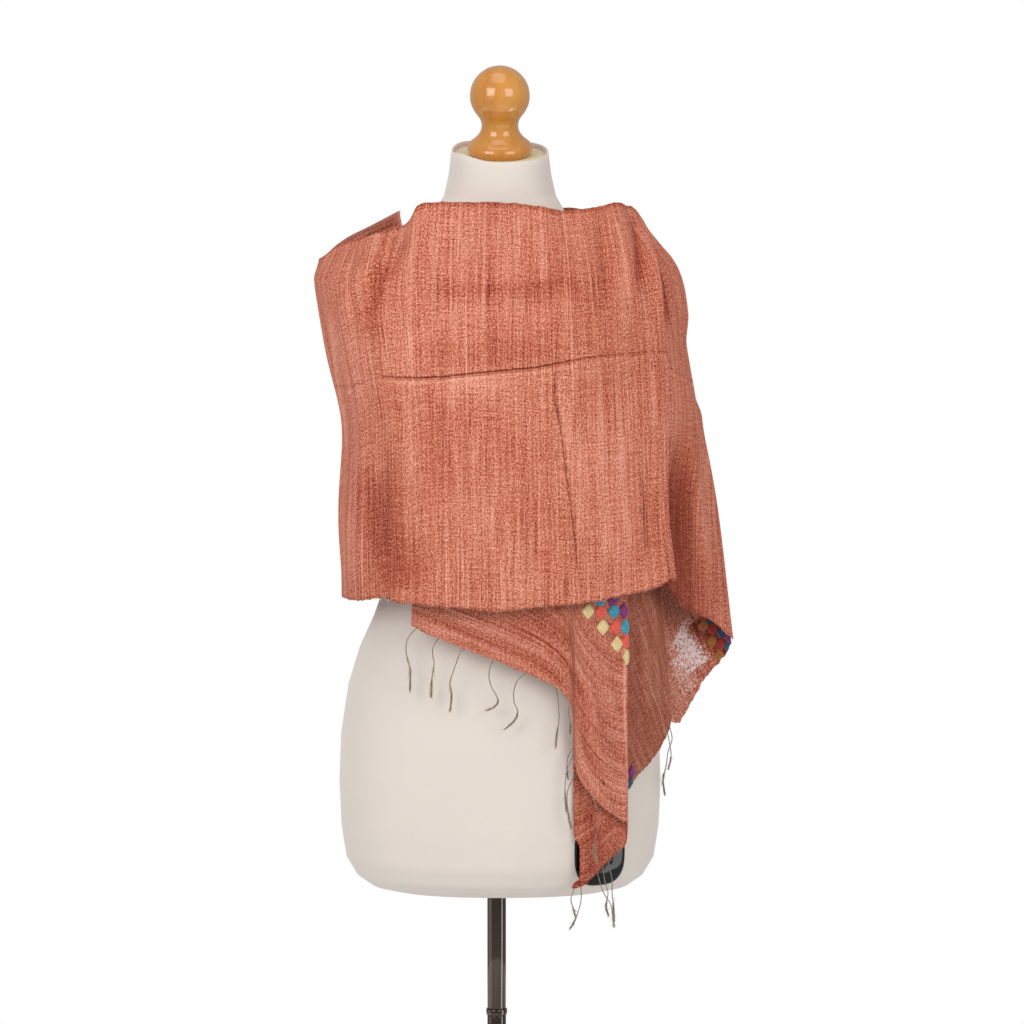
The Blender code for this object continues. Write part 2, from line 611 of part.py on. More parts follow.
def build_fringe(name, edge, normals, threads):
    """A strip along an edge with threads fused into it by boolean unions."""
    verts, faces, middle = strip_mesh(edge, normals)
    strip = make_object(name, verts, faces, "thread")
    for k, (share, steps) in enumerate(threads):
        root = polyline_at(middle, share)
        route = [root]
        for right, down in steps:
            route.append(route[-1] + Vector((right, 0, -down)))
        verts, faces = thread_mesh(route)
        cutter = make_object(name + "_thread_guide_" + str(k), verts, faces, "thread")
        union = strip.modifiers.new("thread_" + str(k), "BOOLEAN")
        union.operation = "UNION"
        union.solver = "EXACT"
        union.object = cutter
        cutter.hide_render = True
        cutter.display_type = "WIRE"
    return strip


def build_fringes(grids):
    """Fringes on the lower edges of the hanging ends, between two columns of each."""
    fringes = (
        ("fringe_tail", "scarf_tail_front", 0, 14, TAIL_THREADS),
        ("fringe_tip", "scarf_tail_back", 3, 9, TIP_THREADS),
        ("fringe_side", "scarf_side", 6, 10, SIDE_THREADS),
    )
    for name, cloth, first, last, threads in fringes:
        grid = grids[cloth][first:last + 1]
        edge = [column[-1] for column in grid]
        normals = [column[-1] for column in grid_normals(grid)]
        build_fringe(name, edge, normals, threads)


clear_scene()
build_trunk()
build_neck()
build_stand()
build_patch()
build_wound_cloth()
build_fringes(build_hanging_ends())
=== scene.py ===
"""Looks of a raw silk stole wound round a limbless dress form on a pole stand.

Tables are in millimetres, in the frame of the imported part: +Z up, the front faces -Y and
+X is the viewer's right. Meshes are in metres.
"""

import math
import random

import bpy
import numpy as np
from mathutils import Matrix, Vector
from mathutils.bvhtree import BVHTree


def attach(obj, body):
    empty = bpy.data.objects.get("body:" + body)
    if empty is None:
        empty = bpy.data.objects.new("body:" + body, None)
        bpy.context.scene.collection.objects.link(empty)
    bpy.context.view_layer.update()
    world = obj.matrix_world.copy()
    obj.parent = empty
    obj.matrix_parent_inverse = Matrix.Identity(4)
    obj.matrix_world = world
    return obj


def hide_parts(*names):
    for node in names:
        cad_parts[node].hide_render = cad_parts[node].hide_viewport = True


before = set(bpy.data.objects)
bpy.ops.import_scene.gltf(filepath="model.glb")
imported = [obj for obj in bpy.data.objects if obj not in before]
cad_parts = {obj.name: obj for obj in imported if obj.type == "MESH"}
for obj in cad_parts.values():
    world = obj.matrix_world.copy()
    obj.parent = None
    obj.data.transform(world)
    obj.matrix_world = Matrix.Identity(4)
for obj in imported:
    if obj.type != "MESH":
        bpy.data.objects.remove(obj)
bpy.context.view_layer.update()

MM = 0.001
SILK_THICK = 0.6        # the silk as a thin shell, mm

# ---------------------------------------------------------------------------------------
# Shapes that the solids give. A row is one line of the cloth from its top selvedge to its
# hem: (x, y, z) at the neck edge, shoulder, upper chest, bust, waist and hem.
FRONT_ROWS = (
    ((-137, 70, 1334), (-155, 79, 1277), (-149, 89, 1205),
     (-140, 88, 1130), (-140, 90, 1040), (-142, 92, 939)),
    ((-164, 48, 1316), (-180, 50, 1276), (-166, 58, 1205),
     (-154, 60, 1130), (-156, 60, 1040), (-157, 60, 941)),
    ((-188.6, 12, 1297), (-195.4, 8, 1278), (-181, 10, 1205),
     (-165, 12, 1130), (-168, 12, 1040), (-168, 12, 947)),
    ((-178.6, -21, 1300), (-189, -26, 1279), (-175, -30, 1205),
     (-160, -40, 1130), (-163, -44, 1040), (-162, -44, 948)),
    ((-157, -41, 1309), (-171.4, -54, 1279), (-160, -66, 1205),
     (-147, -80, 1130), (-149, -84, 1040), (-148, -84, 950)),
    ((-131, -58, 1325), (-142, -76, 1280), (-134, -93, 1205),
     (-123, -107, 1130), (-123, -112, 1040), (-121, -113, 955)),
    ((-97, -68, 1336), (-112, -90, 1282), (-110, -107, 1205),
     (-104, -120, 1130), (-104, -125, 1040), (-103, -127, 952)),
    ((-84, -70, 1358), (-90, -95, 1283), (-86, -114, 1205),
     (-82, -128, 1130), (-82, -133, 1040), (-82, -135, 950)),
    ((-62, -70, 1361), (-66, -94, 1283), (-64, -116, 1205),
     (-62, -133, 1130), (-62, -137, 1040), (-62, -139, 949)),
    ((-30, -68, 1361), (-32, -91, 1283), (-32, -116, 1205),
     (-31, -135, 1130), (-31, -139, 1040), (-31, -142, 946)),
    ((0, -67, 1361), (0, -90, 1283), (0, -114, 1205),
     (0, -133, 1130), (0, -138, 1040), (0, -141, 944)),
    ((36, -65, 1358), (37, -88, 1283), (37, -112, 1205),
     (37, -131, 1130), (38, -137, 1040), (38, -140, 948)),
    ((67, -60, 1353), (74, -83, 1284), (77, -104, 1205),
     (79, -121, 1130), (81, -129, 1040), (82, -132, 951)),
    ((100, -50, 1357), (110, -70, 1286), (115, -88, 1205),
     (118, -104, 1130), (121, -115, 1040), (123, -119, 957)),
    ((122, -34, 1362), (141, -56, 1291), (149, -69, 1205),
     (152, -86, 1130), (154, -99, 1040), (157, -104, 964)),
    ((131, -24, 1359), (160, -42, 1296), (172, -54, 1205),
     (175, -70, 1130), (176, -84, 1040), (184, -83, 971)),
)
FLAP_ROWS = (
    ((140, -13, 1357), (172, -30, 1294), (183, -38, 1205),
     (190, -50, 1130), (193, -58, 1040), (197, -50, 940)),
    ((146, -5, 1350), (181, -14, 1289), (194, -20, 1205),
     (206, -27, 1130), (214, -32, 1040), (223, -26, 923)),
    ((150, 6, 1344), (187, 6, 1286), (200, 6, 1205), (214, 8, 1130), (231, 8, 1040), (248, 4, 900)),
    ((146, 31, 1343), (181, 36, 1285), (193, 42, 1205),
     (203, 47, 1130), (214, 50, 1040), (226, 50, 914)),
    ((126, 62, 1350), (156, 72, 1287), (164, 84, 1205),
     (168, 90, 1130), (174, 96, 1040), (180, 98, 924)),
)
BACK_ROWS = (
    ((92, 78, 1357), (112, 95, 1286), (118, 107, 1205),
     (117, 108, 1130), (117, 110, 1040), (119, 113, 929)),
    ((46, 83, 1361), (56, 105, 1285), (58, 118, 1205),
     (58, 114, 1130), (58, 112, 1040), (60, 115, 928)),
    ((0, 82, 1362), (0, 107, 1284), (0, 120, 1205), (0, 114, 1130), (0, 111, 1040), (0, 115, 931)),
    ((-46, 82, 1360), (-56, 105, 1284), (-58, 118, 1205),
     (-57, 113, 1130), (-57, 111, 1040), (-58, 115, 931)),
    ((-94, 79, 1352), (-110, 94, 1281), (-112, 107, 1205),
     (-108, 105, 1130), (-108, 106, 1040), (-110, 109, 936)),
)
# The inner turn over the left shoulder: a row is an arch from front to back.
BAND_ROWS = (
    ((-99, -52, 1328), (-104, -28, 1347), (-106, 2, 1354), (-108, 30, 1349), (-107, 56, 1332)),
    ((-127, -46, 1316), (-133, -24, 1333), (-135, 4, 1339), (-136, 32, 1334), (-133, 52, 1316)),
    ((-150, -38, 1302), (-160, -18, 1319), (-164, 6, 1324), (-161, 30, 1318), (-154, 46, 1300)),
    ((-170.5, -30, 1290), (-180.5, -12, 1303), (-183, 8, 1307),
     (-180.5, 26, 1302), (-172.5, 40, 1288)),
    ((-178.6, -24, 1270), (-186.6, -10, 1280), (-189.6, 8, 1284),
     (-186.6, 24, 1278), (-177.6, 36, 1268)),
)
# Hanging ends. A row is a line of the cloth: x, y at its top, then x, y, z at its end.
TAIL_TOP, TAIL_BACK_TOP, SIDE_TOP, CORNER_TOP = 1080.0, 1000.0, 985.0, 1000.0
TAIL_FRONT_ROWS = (
    (-87, -94.4, -91, -106, 926), (-68, -103.6, -72, -113, 917), (-37, -111.8, -38, -118, 904),
    (-6, -115.2, -6, -121, 892), (25, -113, 26, -123, 879), (52, -110, 56, -124, 865),
    (66, -108, 72, -124, 849), (72, -107, 76, -124, 815), (76, -106, 79, -124, 779),
    (88, -104, 91, -122, 757), (106, -98, 108, -116, 738), (124, -92, 124, -107, 726),
    (130.5, -91.5, 130.5, -105, 722), (132.5, -87.5, 132.5, -101.5, 718),
)
TAIL_BACK_ROWS = (
    (130.5, -86, 131, -97.5, 698), (122, -87, 123, -99, 690), (106, -94, 109, -107, 678),
    (92, -101, 97, -111, 667), (82, -103.5, 86, -114, 656), (74, -105, 77, -116, 657),
)
SIDE_ROWS = (
    (116, -82, 117, -94.8, 741), (126, -79, 129, -88.5, 748), (138, -74, 143, -80, 766),
    (148, -71, 155, -71, 777), (156, -62, 167, -58, 791), (162, -54, 176, -46, 806),
    (165, -46, 181, -38, 822), (163, -41, 177, -32, 826),
)
CORNER_ROWS = (
    (168, -18, 168, -20, 828), (174, -8, 176, -10, 820), (182, 4, 184, -2, 812),
    (192, 12, 193, 6, 813), (202, 17, 205, 12, 833), (213, 19, 218, 16, 855),
    (222, 18, 229, 16, 868), (229, 14, 241, 10, 884), (233, 8, 246, 4, 897),
)

# The form's trunk: height, half width, depth to the front and to the back.
TRUNK_SECTIONS = (
    (636, 118, 72, 80), (641, 138, 88, 96), (652, 153, 103, 110), (671, 164, 113, 119),
    (704, 169, 117, 122), (750, 171, 118, 124), (802, 169, 115, 122), (854, 161, 106, 112),
    (893, 149, 98, 98), (926, 134, 92, 86), (960, 122, 89, 77), (992, 116, 90, 74),
    (1032, 121, 99, 80), (1076, 131, 112, 92), (1120, 140, 126, 101), (1160, 147, 123.8, 107),
    (1200, 153, 107, 112.5), (1240, 160, 90, 114.6), (1268, 166, 80, 106), (1288, 166, 72, 95),
    (1303, 156, 65, 82), (1317, 136, 59, 75), (1330, 110, 55, 69), (1342, 85, 53, 64),
    (1354, 68, 52, 60), (1370, 59, 51, 56), (1392, 54, 50, 52), (1416, 51, 49, 50),
)
NECK_TOP = TRUNK_SECTIONS[-1][0]
TRUNK_SQUARENESS = 2.3
NECK_SHEAR_FROM, NECK_TILT = 1360.0, 15.4
RIM_WAVES = ((312, 5.0, 26), (232, 2.2, 26), (270, 1.2, 20))    # where, how high in mm, how wide
RIM_WIDE, RIM_TALL = 1.8, 5.0       # the neck's cover stands up round the cap
SEAM = 0.3
CAP_RADIUS, CAP_THICK = 46.3, 1.6
KNOB_PROFILE = (
    (0, 94.0), (8.6, 92.9), (17.4, 88.7), (24.9, 81.6), (29.6, 73.0), (31.3, 62.5), (30.1, 53.8),
    (26.4, 46.0), (21.6, 39.5), (19.4, 33.5), (19.6, 28.0), (21.8, 22.5), (26.6, 17.0),
    (31.6, 13.0), (34.2, 8.5), (34.0, 4.5), (31.0, 0.0), (0, 0.0),
)
POLE_X, POLE_RADIUS = -3.7, 10.0
JOINT_HEIGHT, JOINT_RADIUS, JOINT_TALL = 500.0, 11.2, 7.0
BASE_PROFILE = (
    (0, 34.0), (15.0, 34.0), (19.0, 31.5), (20.5, 26.0), (21.5, 18.0), (26.0, 15.0),
    (90.0, 13.0), (150.0, 10.0), (166.0, 8.0), (170.0, 5.0), (170.0, 1.5), (168.0, 0.0), (0, 0.0),
)
PATCH_CENTRE, PATCH_HALF, PATCH_SQUARENESS = (103.0, 690.0), (26.0, 38.5), 2.9
PATCH_THICK, PATCH_CLEAR = 1.0, 1.1

# ---------------------------------------------------------------------------------------
# Camera: far off, a little above the form's middle.
CAMERA_AWAY = 3500.0
CAMERA_RISE = math.radians(4.0)     # above the horizon
CAMERA_TARGET = (12.7, 0.0, 1036.0)
FRAME_PIXELS = 1024
FRAME_MIDDLE = FRAME_PIXELS / 2
PIXEL = 1.06                        # what a pixel of the frame spans at the target, mm
FRAME_WIDE = FRAME_PIXELS * PIXEL
CAMERA_BACK = Vector((0, -math.cos(CAMERA_RISE), math.sin(CAMERA_RISE)))    # from the target to the camera
CAMERA_UP = Vector((0, math.sin(CAMERA_RISE), math.cos(CAMERA_RISE)))

TINY = 1e-9


def smoothstep(x):
    x = np.clip(x, 0.0, 1.0)
    return x * x * (3 - 2 * x)


def unit(vectors):
    return vectors / np.maximum(np.linalg.norm(vectors, axis=-1, keepdims=True), TINY)


def bell(count):
    """Weights that add up to 1 and are highest in the middle, to even out a row of values."""
    weights = np.exp(-np.linspace(-2, 2, count) ** 2)
    return weights / weights.sum()


def run_along(points):
    """How far along a line of points each of them is."""
    return np.concatenate([[0], np.cumsum(np.linalg.norm(np.diff(points, axis=0), axis=1))])


def cubic_weights(u):
    """Weights of four points in a row for a smooth curve between the middle two."""
    return np.stack([-u + 2 * u**2 - u**3, 2 - 5 * u**2 + 3 * u**3,
                     u + 4 * u**2 - 3 * u**3, u**3 - u**2], -1) / 2


def curve_weights(count, places):
    """Weights of count points on a smooth curve through them, a line for each place
    from 0 to count - 1."""
    places = np.clip(np.asarray(places, float), 0, count - 1)
    cell = np.minimum(places.astype(int), count - 2)
    cubic = cubic_weights(places - cell)
    weights = np.zeros((len(places), count + 2))
    lines = np.arange(len(places))
    for k in range(4):
        weights[lines, cell + k] += cubic[:, k]
    weights[:, 1] += 2 * weights[:, 0]
    weights[:, 2] -= weights[:, 0]
    weights[:, count] += 2 * weights[:, count + 1]
    weights[:, count - 1] -= weights[:, count + 1]
    return weights[:, 1:-1]


def ring_weights(count, places):
    """The same for a closed ring, whose places run from 0 to count."""
    places = np.asarray(places, float)
    cell = np.floor(places).astype(int)
    cubic = cubic_weights(places - cell)
    weights = np.zeros((len(places), count))
    lines = np.arange(len(places))
    for k in range(4):
        np.add.at(weights, (lines, (cell + k - 1) % count), cubic[:, k])
    return weights


def even_places(rows, count, closed=False, density=None):
    """Places along the rows that are evenly spaced in mm, measured across their middles."""
    rows = np.asarray(rows, float)
    fine = np.linspace(0, len(rows) - (0 if closed else 1), 60 * len(rows))
    weights = ring_weights if closed else curve_weights
    steps = np.diff(run_along(weights(len(rows), fine) @ rows.mean(axis=1)))
    if density is not None:
        steps = steps * np.interp((fine[1:] + fine[:-1]) / 2, *density)
    along = np.concatenate([[0], np.cumsum(steps)])
    return np.interp(np.linspace(0, along[-1], count), along, fine)


def grid_normals(grid, closed=False):
    """Unit normals that point out of the cloth's face."""
    if closed:
        along = np.roll(grid, -1, 0) - np.roll(grid, 1, 0)
    else:
        along = np.gradient(grid, axis=0)
    return unit(np.cross(np.gradient(grid, axis=1), along))


def run_lengths(grid):
    """Length along the cloth and down it to each point, in mm. Its middle row and each
    column are the rulers."""
    down = np.array([run_along(column) for column in grid])
    return run_along(grid[:, grid.shape[1] // 2]), down


def nearest_on_path(points, path):
    """How far each point is from a path, the path's place that is nearest to it, and how far
    along the path that is, from 0 to 1."""
    best = np.full(len(points), np.inf)
    nearest, share = np.zeros_like(points), np.zeros(len(points))
    for k in range(len(path) - 1):
        step = path[k + 1] - path[k]
        t = np.clip((points - path[k]) @ step / max(step @ step, TINY), 0, 1)
        spots = path[k] + t[:, None] * step
        away = np.linalg.norm(points - spots, axis=1)
        closer = away < best
        best[closer], nearest[closer] = away[closer], spots[closer]
        share[closer] = (k + t[closer]) / (len(path) - 1)
    return best, nearest, share


def near_path(points, path, half_width, taper=0.2):
    """1 on a path, falling softly to 0 beside it and towards its ends."""
    low, high = path.min(0) - 3 * half_width, path.max(0) + 3 * half_width
    near = np.all((points > low) & (points < high), axis=-1)
    away, _, share = nearest_on_path(points[near], path)
    ends = smoothstep(share / taper) * smoothstep((1 - share) / taper)
    field = np.zeros(points.shape[:-1])
    field[near] = np.exp(-(away / half_width) ** 2) * ends
    return field


def smooth_path(points, count=24):
    points = np.asarray(points, float)
    return curve_weights(len(points), np.linspace(0, len(points) - 1, count)) @ points


def sight(px, py):
    """The camera's eye and its line through a place in the frame, in pixels from the top left."""
    right, lower = (px - FRAME_MIDDLE) * PIXEL, (py - FRAME_MIDDLE) * PIXEL
    line = Vector((right, 0, 0)) - CAMERA_UP * lower - CAMERA_BACK * CAMERA_AWAY
    return Vector(CAMERA_TARGET) + CAMERA_BACK * CAMERA_AWAY, line.normalized()


def frame_place(point):
    """Where the camera sees a point, in pixels from the frame's top left."""
    x, y, z = np.asarray(point, float) - CAMERA_TARGET
    level, upright = math.cos(CAMERA_RISE), math.sin(CAMERA_RISE)
    scale = CAMERA_AWAY / (CAMERA_AWAY + y * level - z * upright) / PIXEL
    return FRAME_MIDDLE + x * scale, FRAME_MIDDLE - (y * upright + z * level) * scale


def grid_tree(grid, closed=False):
    """A grid of points as a surface that lines can be cast at."""
    wide, tall = grid.shape[:2]
    faces = [((i + 1) % wide * tall + j, i * tall + j, i * tall + j + 1, (i + 1) % wide * tall + j + 1)
             for i in range(wide if closed else wide - 1) for j in range(tall - 1)]
    return BVHTree.FromPolygons(grid.reshape(-1, 3).tolist(), faces)


def facing(normal, towards):
    """The normal or its opposite, whichever looks towards a direction."""
    return normal if normal.dot(towards) > 0 else -normal


def ragged(count, size, seed):
    """Uneven steps about 0, smooth from one to the next."""
    chance = random.Random(seed)
    steps = np.array([chance.gauss(0, 1) for _ in range(count)])
    near = (np.roll(steps, 1) + np.roll(steps, -1)) * 0.5
    return (steps * 0.6 + near * 0.6) * size


CREASE_REACH = 14.0     # how far from a sharp crease its field still changes, mm
EVEN_COLUMNS = 26       # how many columns on each side even out an end's line for its threads


class Cloth:
    """A stretch of cloth as a grid of points in mm, with fields for its finish. Its tone field carries
    painted shade and highlights.
    """

    def __init__(self, grid, closed=False):
        self.closed = closed
        self.grid = grid
        self.base = grid.copy()
        self.tree = grid_tree(grid, closed)
        self.normals = grid_normals(grid, closed)
        self.fields = {"tone": np.zeros(grid.shape[:2])}

    def seen(self, px, py):
        """Where the camera's line through a place in the frame meets the cloth, and the cloth's face there."""
        eye, line = sight(px, py)
        place, normal, _, _ = self.tree.ray_cast(eye, line)
        if place is None:
            raise ValueError(f"nothing of this cloth is seen at {px}, {py}")
        return place, facing(normal, -line)

    def seen_path(self, places):
        """A smooth path on the cloth through places in the frame. Places beside the cloth
        take its nearest edge."""
        points = []
        for px, py in places:
            eye, line = sight(px, py)
            place = self.tree.ray_cast(eye, line)[0]
            if place is None:
                middle = self.base[..., 1].mean()
                place = self.tree.find_nearest(eye + line * ((middle - eye.y) / line.y))[0]
            points.append(place)
        return smooth_path(points)

    def folds(self, table, path_through=None):
        """Ridges and troughs from rows of half width, height, tone and places. The tone
        paints their shade and highlights into the cloth's colour.
        """
        for half_width, height, tone, places in table:
            near = near_path(self.base, (path_through or self.seen_path)(places), half_width, 0.25)
            self.grid = self.grid + self.normals * (near * height)[..., None]
            self.fields["tone"] += near * tone

    def rag_hem(self, size, seed):
        """The lower edge runs unevenly."""
        downward = unit(self.grid[:, -1] - self.grid[:, -2])
        self.grid[:, -1] += downward * ragged(len(self.grid), size, seed)[:, None]

    def crease(self, name, path, strengths, sideways=False):
        """Fields for a sharp crease that the finish draws as a painted shade line with a painted
        highlight beside it: how far off the path a point is, in mm and signed, and how strong the
        crease is there."""
        spots = self.base.reshape(-1, 3)
        away, nearest, share = nearest_on_path(spots, path)
        run = np.roll(self.base, -1, 0) - self.base if sideways else np.gradient(self.base, axis=1)
        side = np.sign(np.einsum("ij,ij->i", spots - nearest, run.reshape(-1, 3)))
        shape = self.base.shape[:2]
        self.fields[name] = (np.minimum(away, CREASE_REACH) * side).reshape(shape)
        strength = np.interp(share, np.linspace(0, 1, len(strengths)), strengths)
        self.fields[name + "_on"] = (strength * (away < CREASE_REACH * 1.8)).reshape(shape)

    def edge_nearest(self, px, py, first=0, last=None):
        """The point of the lower edge that lies nearest to a place in the frame."""
        edge = self.grid[first:last, -1]
        fine = np.concatenate([edge[:-1] + (edge[1:] - edge[:-1]) * t for t in np.linspace(0, 1, 8)])
        seen = np.array([frame_place(point) for point in fine])
        return fine[np.argmin(np.hypot(seen[:, 0] - px, seen[:, 1] - py))]

    def make(self, name, material, swap=False, from_end=False, lean=None, turn=0.0):
        """from_end measures the cloth's length up from its lower edge. lean shifts the threads
        along it, in mm at each point, and turn slants them, in degrees."""
        closing = [self.grid[:1]] if self.closed else []
        along, down = run_lengths(np.concatenate([self.grid] + closing))
        down = down[:len(self.grid)]
        if from_end:
            # The edge's own line is evened out first, so that threads beside a steep part stay apart.
            ends = np.pad(down[:, -1], EVEN_COLUMNS, mode="edge")
            down = np.convolve(ends, bell(2 * EVEN_COLUMNS + 1), mode="valid")[:, None] - down
        return shell(name, self.grid, material, along, down, self.closed, fields=self.fields, swap=swap,
                     lean=lean, turn=turn)


# ---------------------------------------------------------------------------------------
# Meshes


def add_mesh(name, points, faces, material, uvs=None, fields=None):
    """A smooth piece from points in mm, faces and a (u, v) for each corner of each face."""
    mesh = bpy.data.meshes.new(name)
    mesh.from_pydata((np.asarray(points, float) * MM).tolist(), [], [tuple(f) for f in faces])
    if uvs is not None:
        layer = mesh.uv_layers.new(name="cloth")
        layer.data.foreach_set("uv", (np.asarray(uvs, float) * MM).ravel().astype(np.float32))
    for field_name, values in (fields or {}).items():
        attribute = mesh.attributes.new(field_name, "FLOAT", "POINT")
        attribute.data.foreach_set("value", np.asarray(values, np.float32))
    mesh.materials.append(material)
    mesh.shade_smooth()
    obj = bpy.data.objects.new(name, mesh)
    bpy.context.scene.collection.objects.link(obj)
    return obj


def shell(name, grid, material, along, down, closed=False, thick=SILK_THICK, fields=None, swap=False,
          lean=None, turn=0.0):
    """A thin closed shell with a grid of points as its middle. Where the grid closes to a
    ring, along has one more entry than the grid is wide."""
    wide, tall = grid.shape[:2]
    offset = grid_normals(grid, closed) * (thick / 2)
    points = np.concatenate([(grid + offset).reshape(-1, 3), (grid - offset).reshape(-1, 3)])
    layer = wide * tall
    cells = wide if closed else wide - 1
    i, j = np.meshgrid(np.arange(cells), np.arange(tall - 1), indexing="ij")
    i, j = i.ravel(), j.ravel()
    # Corners of a cell as (column, row). Columns keep counting past the ring's end for their u.
    corners = [(i, j), (i + 1, j), (i + 1, j + 1), (i, j + 1)]

    def index(column, row):
        return (column % wide) * tall + row

    slant = math.radians(turn)

    def place(column, row):
        v = down[column % wide, row]
        u = along[column] if lean is None else along[column] + lean[column % wide, row]
        u, v = u * math.cos(slant) + v * math.sin(slant), v * math.cos(slant) - u * math.sin(slant)
        return np.stack([v, u] if swap else [u, v], -1)

    outer = [corners[k] for k in (0, 3, 2, 1)]
    faces = [np.stack([index(*c) for c in outer], 1), np.stack([index(*c) + layer for c in corners], 1)]
    uvs = [np.stack([place(*c) for c in outer], 1), np.stack([place(*c) for c in corners], 1)]

    def rim(first, second):
        start, end = index(*first), index(*second)
        faces.append(np.stack([start, end, end + layer, start + layer], 1))
        uvs.append(np.stack([place(*c) for c in (first, second, second, first)], 1))

    columns, rows = np.arange(cells), np.arange(tall - 1)
    top, bottom = np.zeros(cells, int), np.full(cells, tall - 1)
    rim((columns, top), (columns + 1, top))
    rim((columns + 1, bottom), (columns, bottom))
    if not closed:
        left, right = np.zeros(tall - 1, int), np.full(tall - 1, wide - 1)
        rim((left, rows + 1), (left, rows))
        rim((right, rows), (right, rows + 1))
    both = {key: np.concatenate([value.ravel()] * 2) for key, value in (fields or {}).items()}
    return add_mesh(name, points, np.concatenate(faces).tolist(), material,
                    np.concatenate(uvs).reshape(-1, 2), both)


def turned(name, profile, sides, material, place=Matrix()):
    """A solid turned round Z from radius and height pairs, in mm."""
    rings = np.asarray(profile, float)
    turn = np.linspace(0, 2 * math.pi, sides, endpoint=False)
    points = [(r * math.cos(a), r * math.sin(a), h) for r, h in rings[1:-1] for a in turn]
    points = [(0, 0, rings[0][1])] + points + [(0, 0, rings[-1][1])]
    faces, last = [], len(points) - 1
    for k in range(sides):
        after = (k + 1) % sides
        faces.append((0, 1 + k, 1 + after))
        for r in range(len(rings) - 3):
            a, b = 1 + r * sides, 1 + (r + 1) * sides
            faces.append((a + k, b + k, b + after, a + after))
        low = 1 + (len(rings) - 3) * sides
        faces.append((low + k, last, low + after))
    points = np.array([place @ Vector(p) for p in points])
    return add_mesh(name, points, faces, material)


def finer(profile, steps):
    """A profile with smooth in-between points."""
    profile = np.asarray(profile, float)
    places = np.linspace(0, len(profile) - 1, (len(profile) - 1) * steps + 1)
    fine = curve_weights(len(profile), places) @ profile
    fine[:, 0] = np.maximum(fine[:, 0], 0)
    return fine


def finish_piece(obj, nodes, sharp=None):
    """sharp is the angle in degrees above which edges stay sharp."""
    if sharp:
        obj.data.set_sharp_from_angle(angle=math.radians(sharp))
    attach(obj, "root")
    if nodes:
        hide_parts(*nodes)
    return obj


# ---------------------------------------------------------------------------------------
# Materials


class Finish:
    """A procedural material: a Principled shader and the nodes that feed it."""

    def __init__(self, name, **constants):
        self.material = bpy.data.materials.new(name)
        self.material.use_nodes = True
        self.nodes = self.material.node_tree.nodes
        self.links = self.material.node_tree.links
        self.shader = self.nodes["Principled BSDF"]
        for socket, value in constants.items():
            self.shader.inputs[socket.replace("_", " ")].default_value = value

    def node(self, kind, sources=None, **settings):
        made = self.nodes.new(kind)
        for key, value in settings.items():
            setattr(made, key, value)
        for socket, source in (sources or {}).items():
            if isinstance(source, bpy.types.NodeSocket):
                self.links.new(source, made.inputs[socket])
            else:
                made.inputs[socket].default_value = source
        return made

    def cloth_uv(self):
        return self.node("ShaderNodeUVMap", uv_map="cloth").outputs[0]

    def place(self):
        return self.node("ShaderNodeTexCoord").outputs["Object"]

    def field(self, name):
        return self.node("ShaderNodeAttribute", attribute_name=name).outputs["Fac"]

    def maths(self, operation, a, b=0.0):
        return self.node("ShaderNodeMath", {0: a, 1: b}, operation=operation).outputs[0]

    def span(self, value, low, high, to_low=0.0, to_high=1.0, soft=False):
        """What goes from to_low to to_high as a value goes from low to high."""
        sources = {"Value": value, "From Min": low, "From Max": high, "To Min": to_low, "To Max": to_high}
        kind = "SMOOTHSTEP" if soft else "LINEAR"
        return self.node("ShaderNodeMapRange", sources, interpolation_type=kind).outputs[0]

    def scaled(self, source, scale, shift=(0.0, 0.0, 0.0)):
        moved = self.node("ShaderNodeVectorMath", {0: source, 1: shift}, operation="ADD").outputs[0]
        return self.node("ShaderNodeVectorMath", {0: moved, 1: scale}, operation="MULTIPLY").outputs[0]

    def noise(self, source, scale, shift=0.0, detail=1.0, rough=0.5, spread=1.0):
        """Noise about 0 with about the spread asked for. scale is in waves for each metre, by axis."""
        at = self.scaled(source, scale, (shift, shift * 0.7, shift * 1.3))
        made = self.node("ShaderNodeTexNoise", {"Vector": at, "Scale": 1.0, "Detail": detail,
                                                "Roughness": rough})
        return self.maths("MULTIPLY", self.maths("SUBTRACT", made.outputs["Fac"], 0.5), 2.0 * spread)

    def total(self, *parts):
        value = parts[0]
        for part in parts[1:]:
            value = self.maths("ADD", value, part)
        return value

    def ramp(self, value, stops):
        """A colour for a value near 0, from stops of value and colour."""
        low, high = stops[0][0], stops[-1][0]
        made = self.node("ShaderNodeValToRGB", {"Fac": self.span(value, low, high)})
        ramp = made.color_ramp
        while len(ramp.elements) < len(stops):
            ramp.elements.new(0.5)
        for element, (at, colour) in zip(ramp.elements, stops):
            element.position = (at - low) / (high - low)
            element.color = (*colour, 1.0)
        return made.outputs["Color"]

    def mixed(self, share, a, b, how="MIX"):
        made = self.node("ShaderNodeMix", data_type="RGBA", blend_type=how)
        for socket, source in ((0, share), (6, a), (7, b)):
            if isinstance(source, bpy.types.NodeSocket):
                self.links.new(source, made.inputs[socket])
            else:
                made.inputs[socket].default_value = source if socket == 0 else (*source, 1.0)
        return made.outputs[2]

    def colour(self, source):
        self.links.new(source, self.shader.inputs["Base Color"])

    def roughness(self, source):
        self.links.new(source, self.shader.inputs["Roughness"])

    def bump(self, height, distance, strength=1.0):
        made = self.node("ShaderNodeBump", {"Height": height, "Distance": distance, "Strength": strength})
        self.links.new(made.outputs["Normal"], self.shader.inputs["Normal"])


SILK_DARK = (0.165, 0.020, 0.012)
SILK_DEEP = (0.43, 0.092, 0.050)
SILK_MID = (0.63, 0.205, 0.122)
SILK_PALE = (0.88, 0.42, 0.32)
SILK_WHITE = (1.0, 0.84, 0.82)


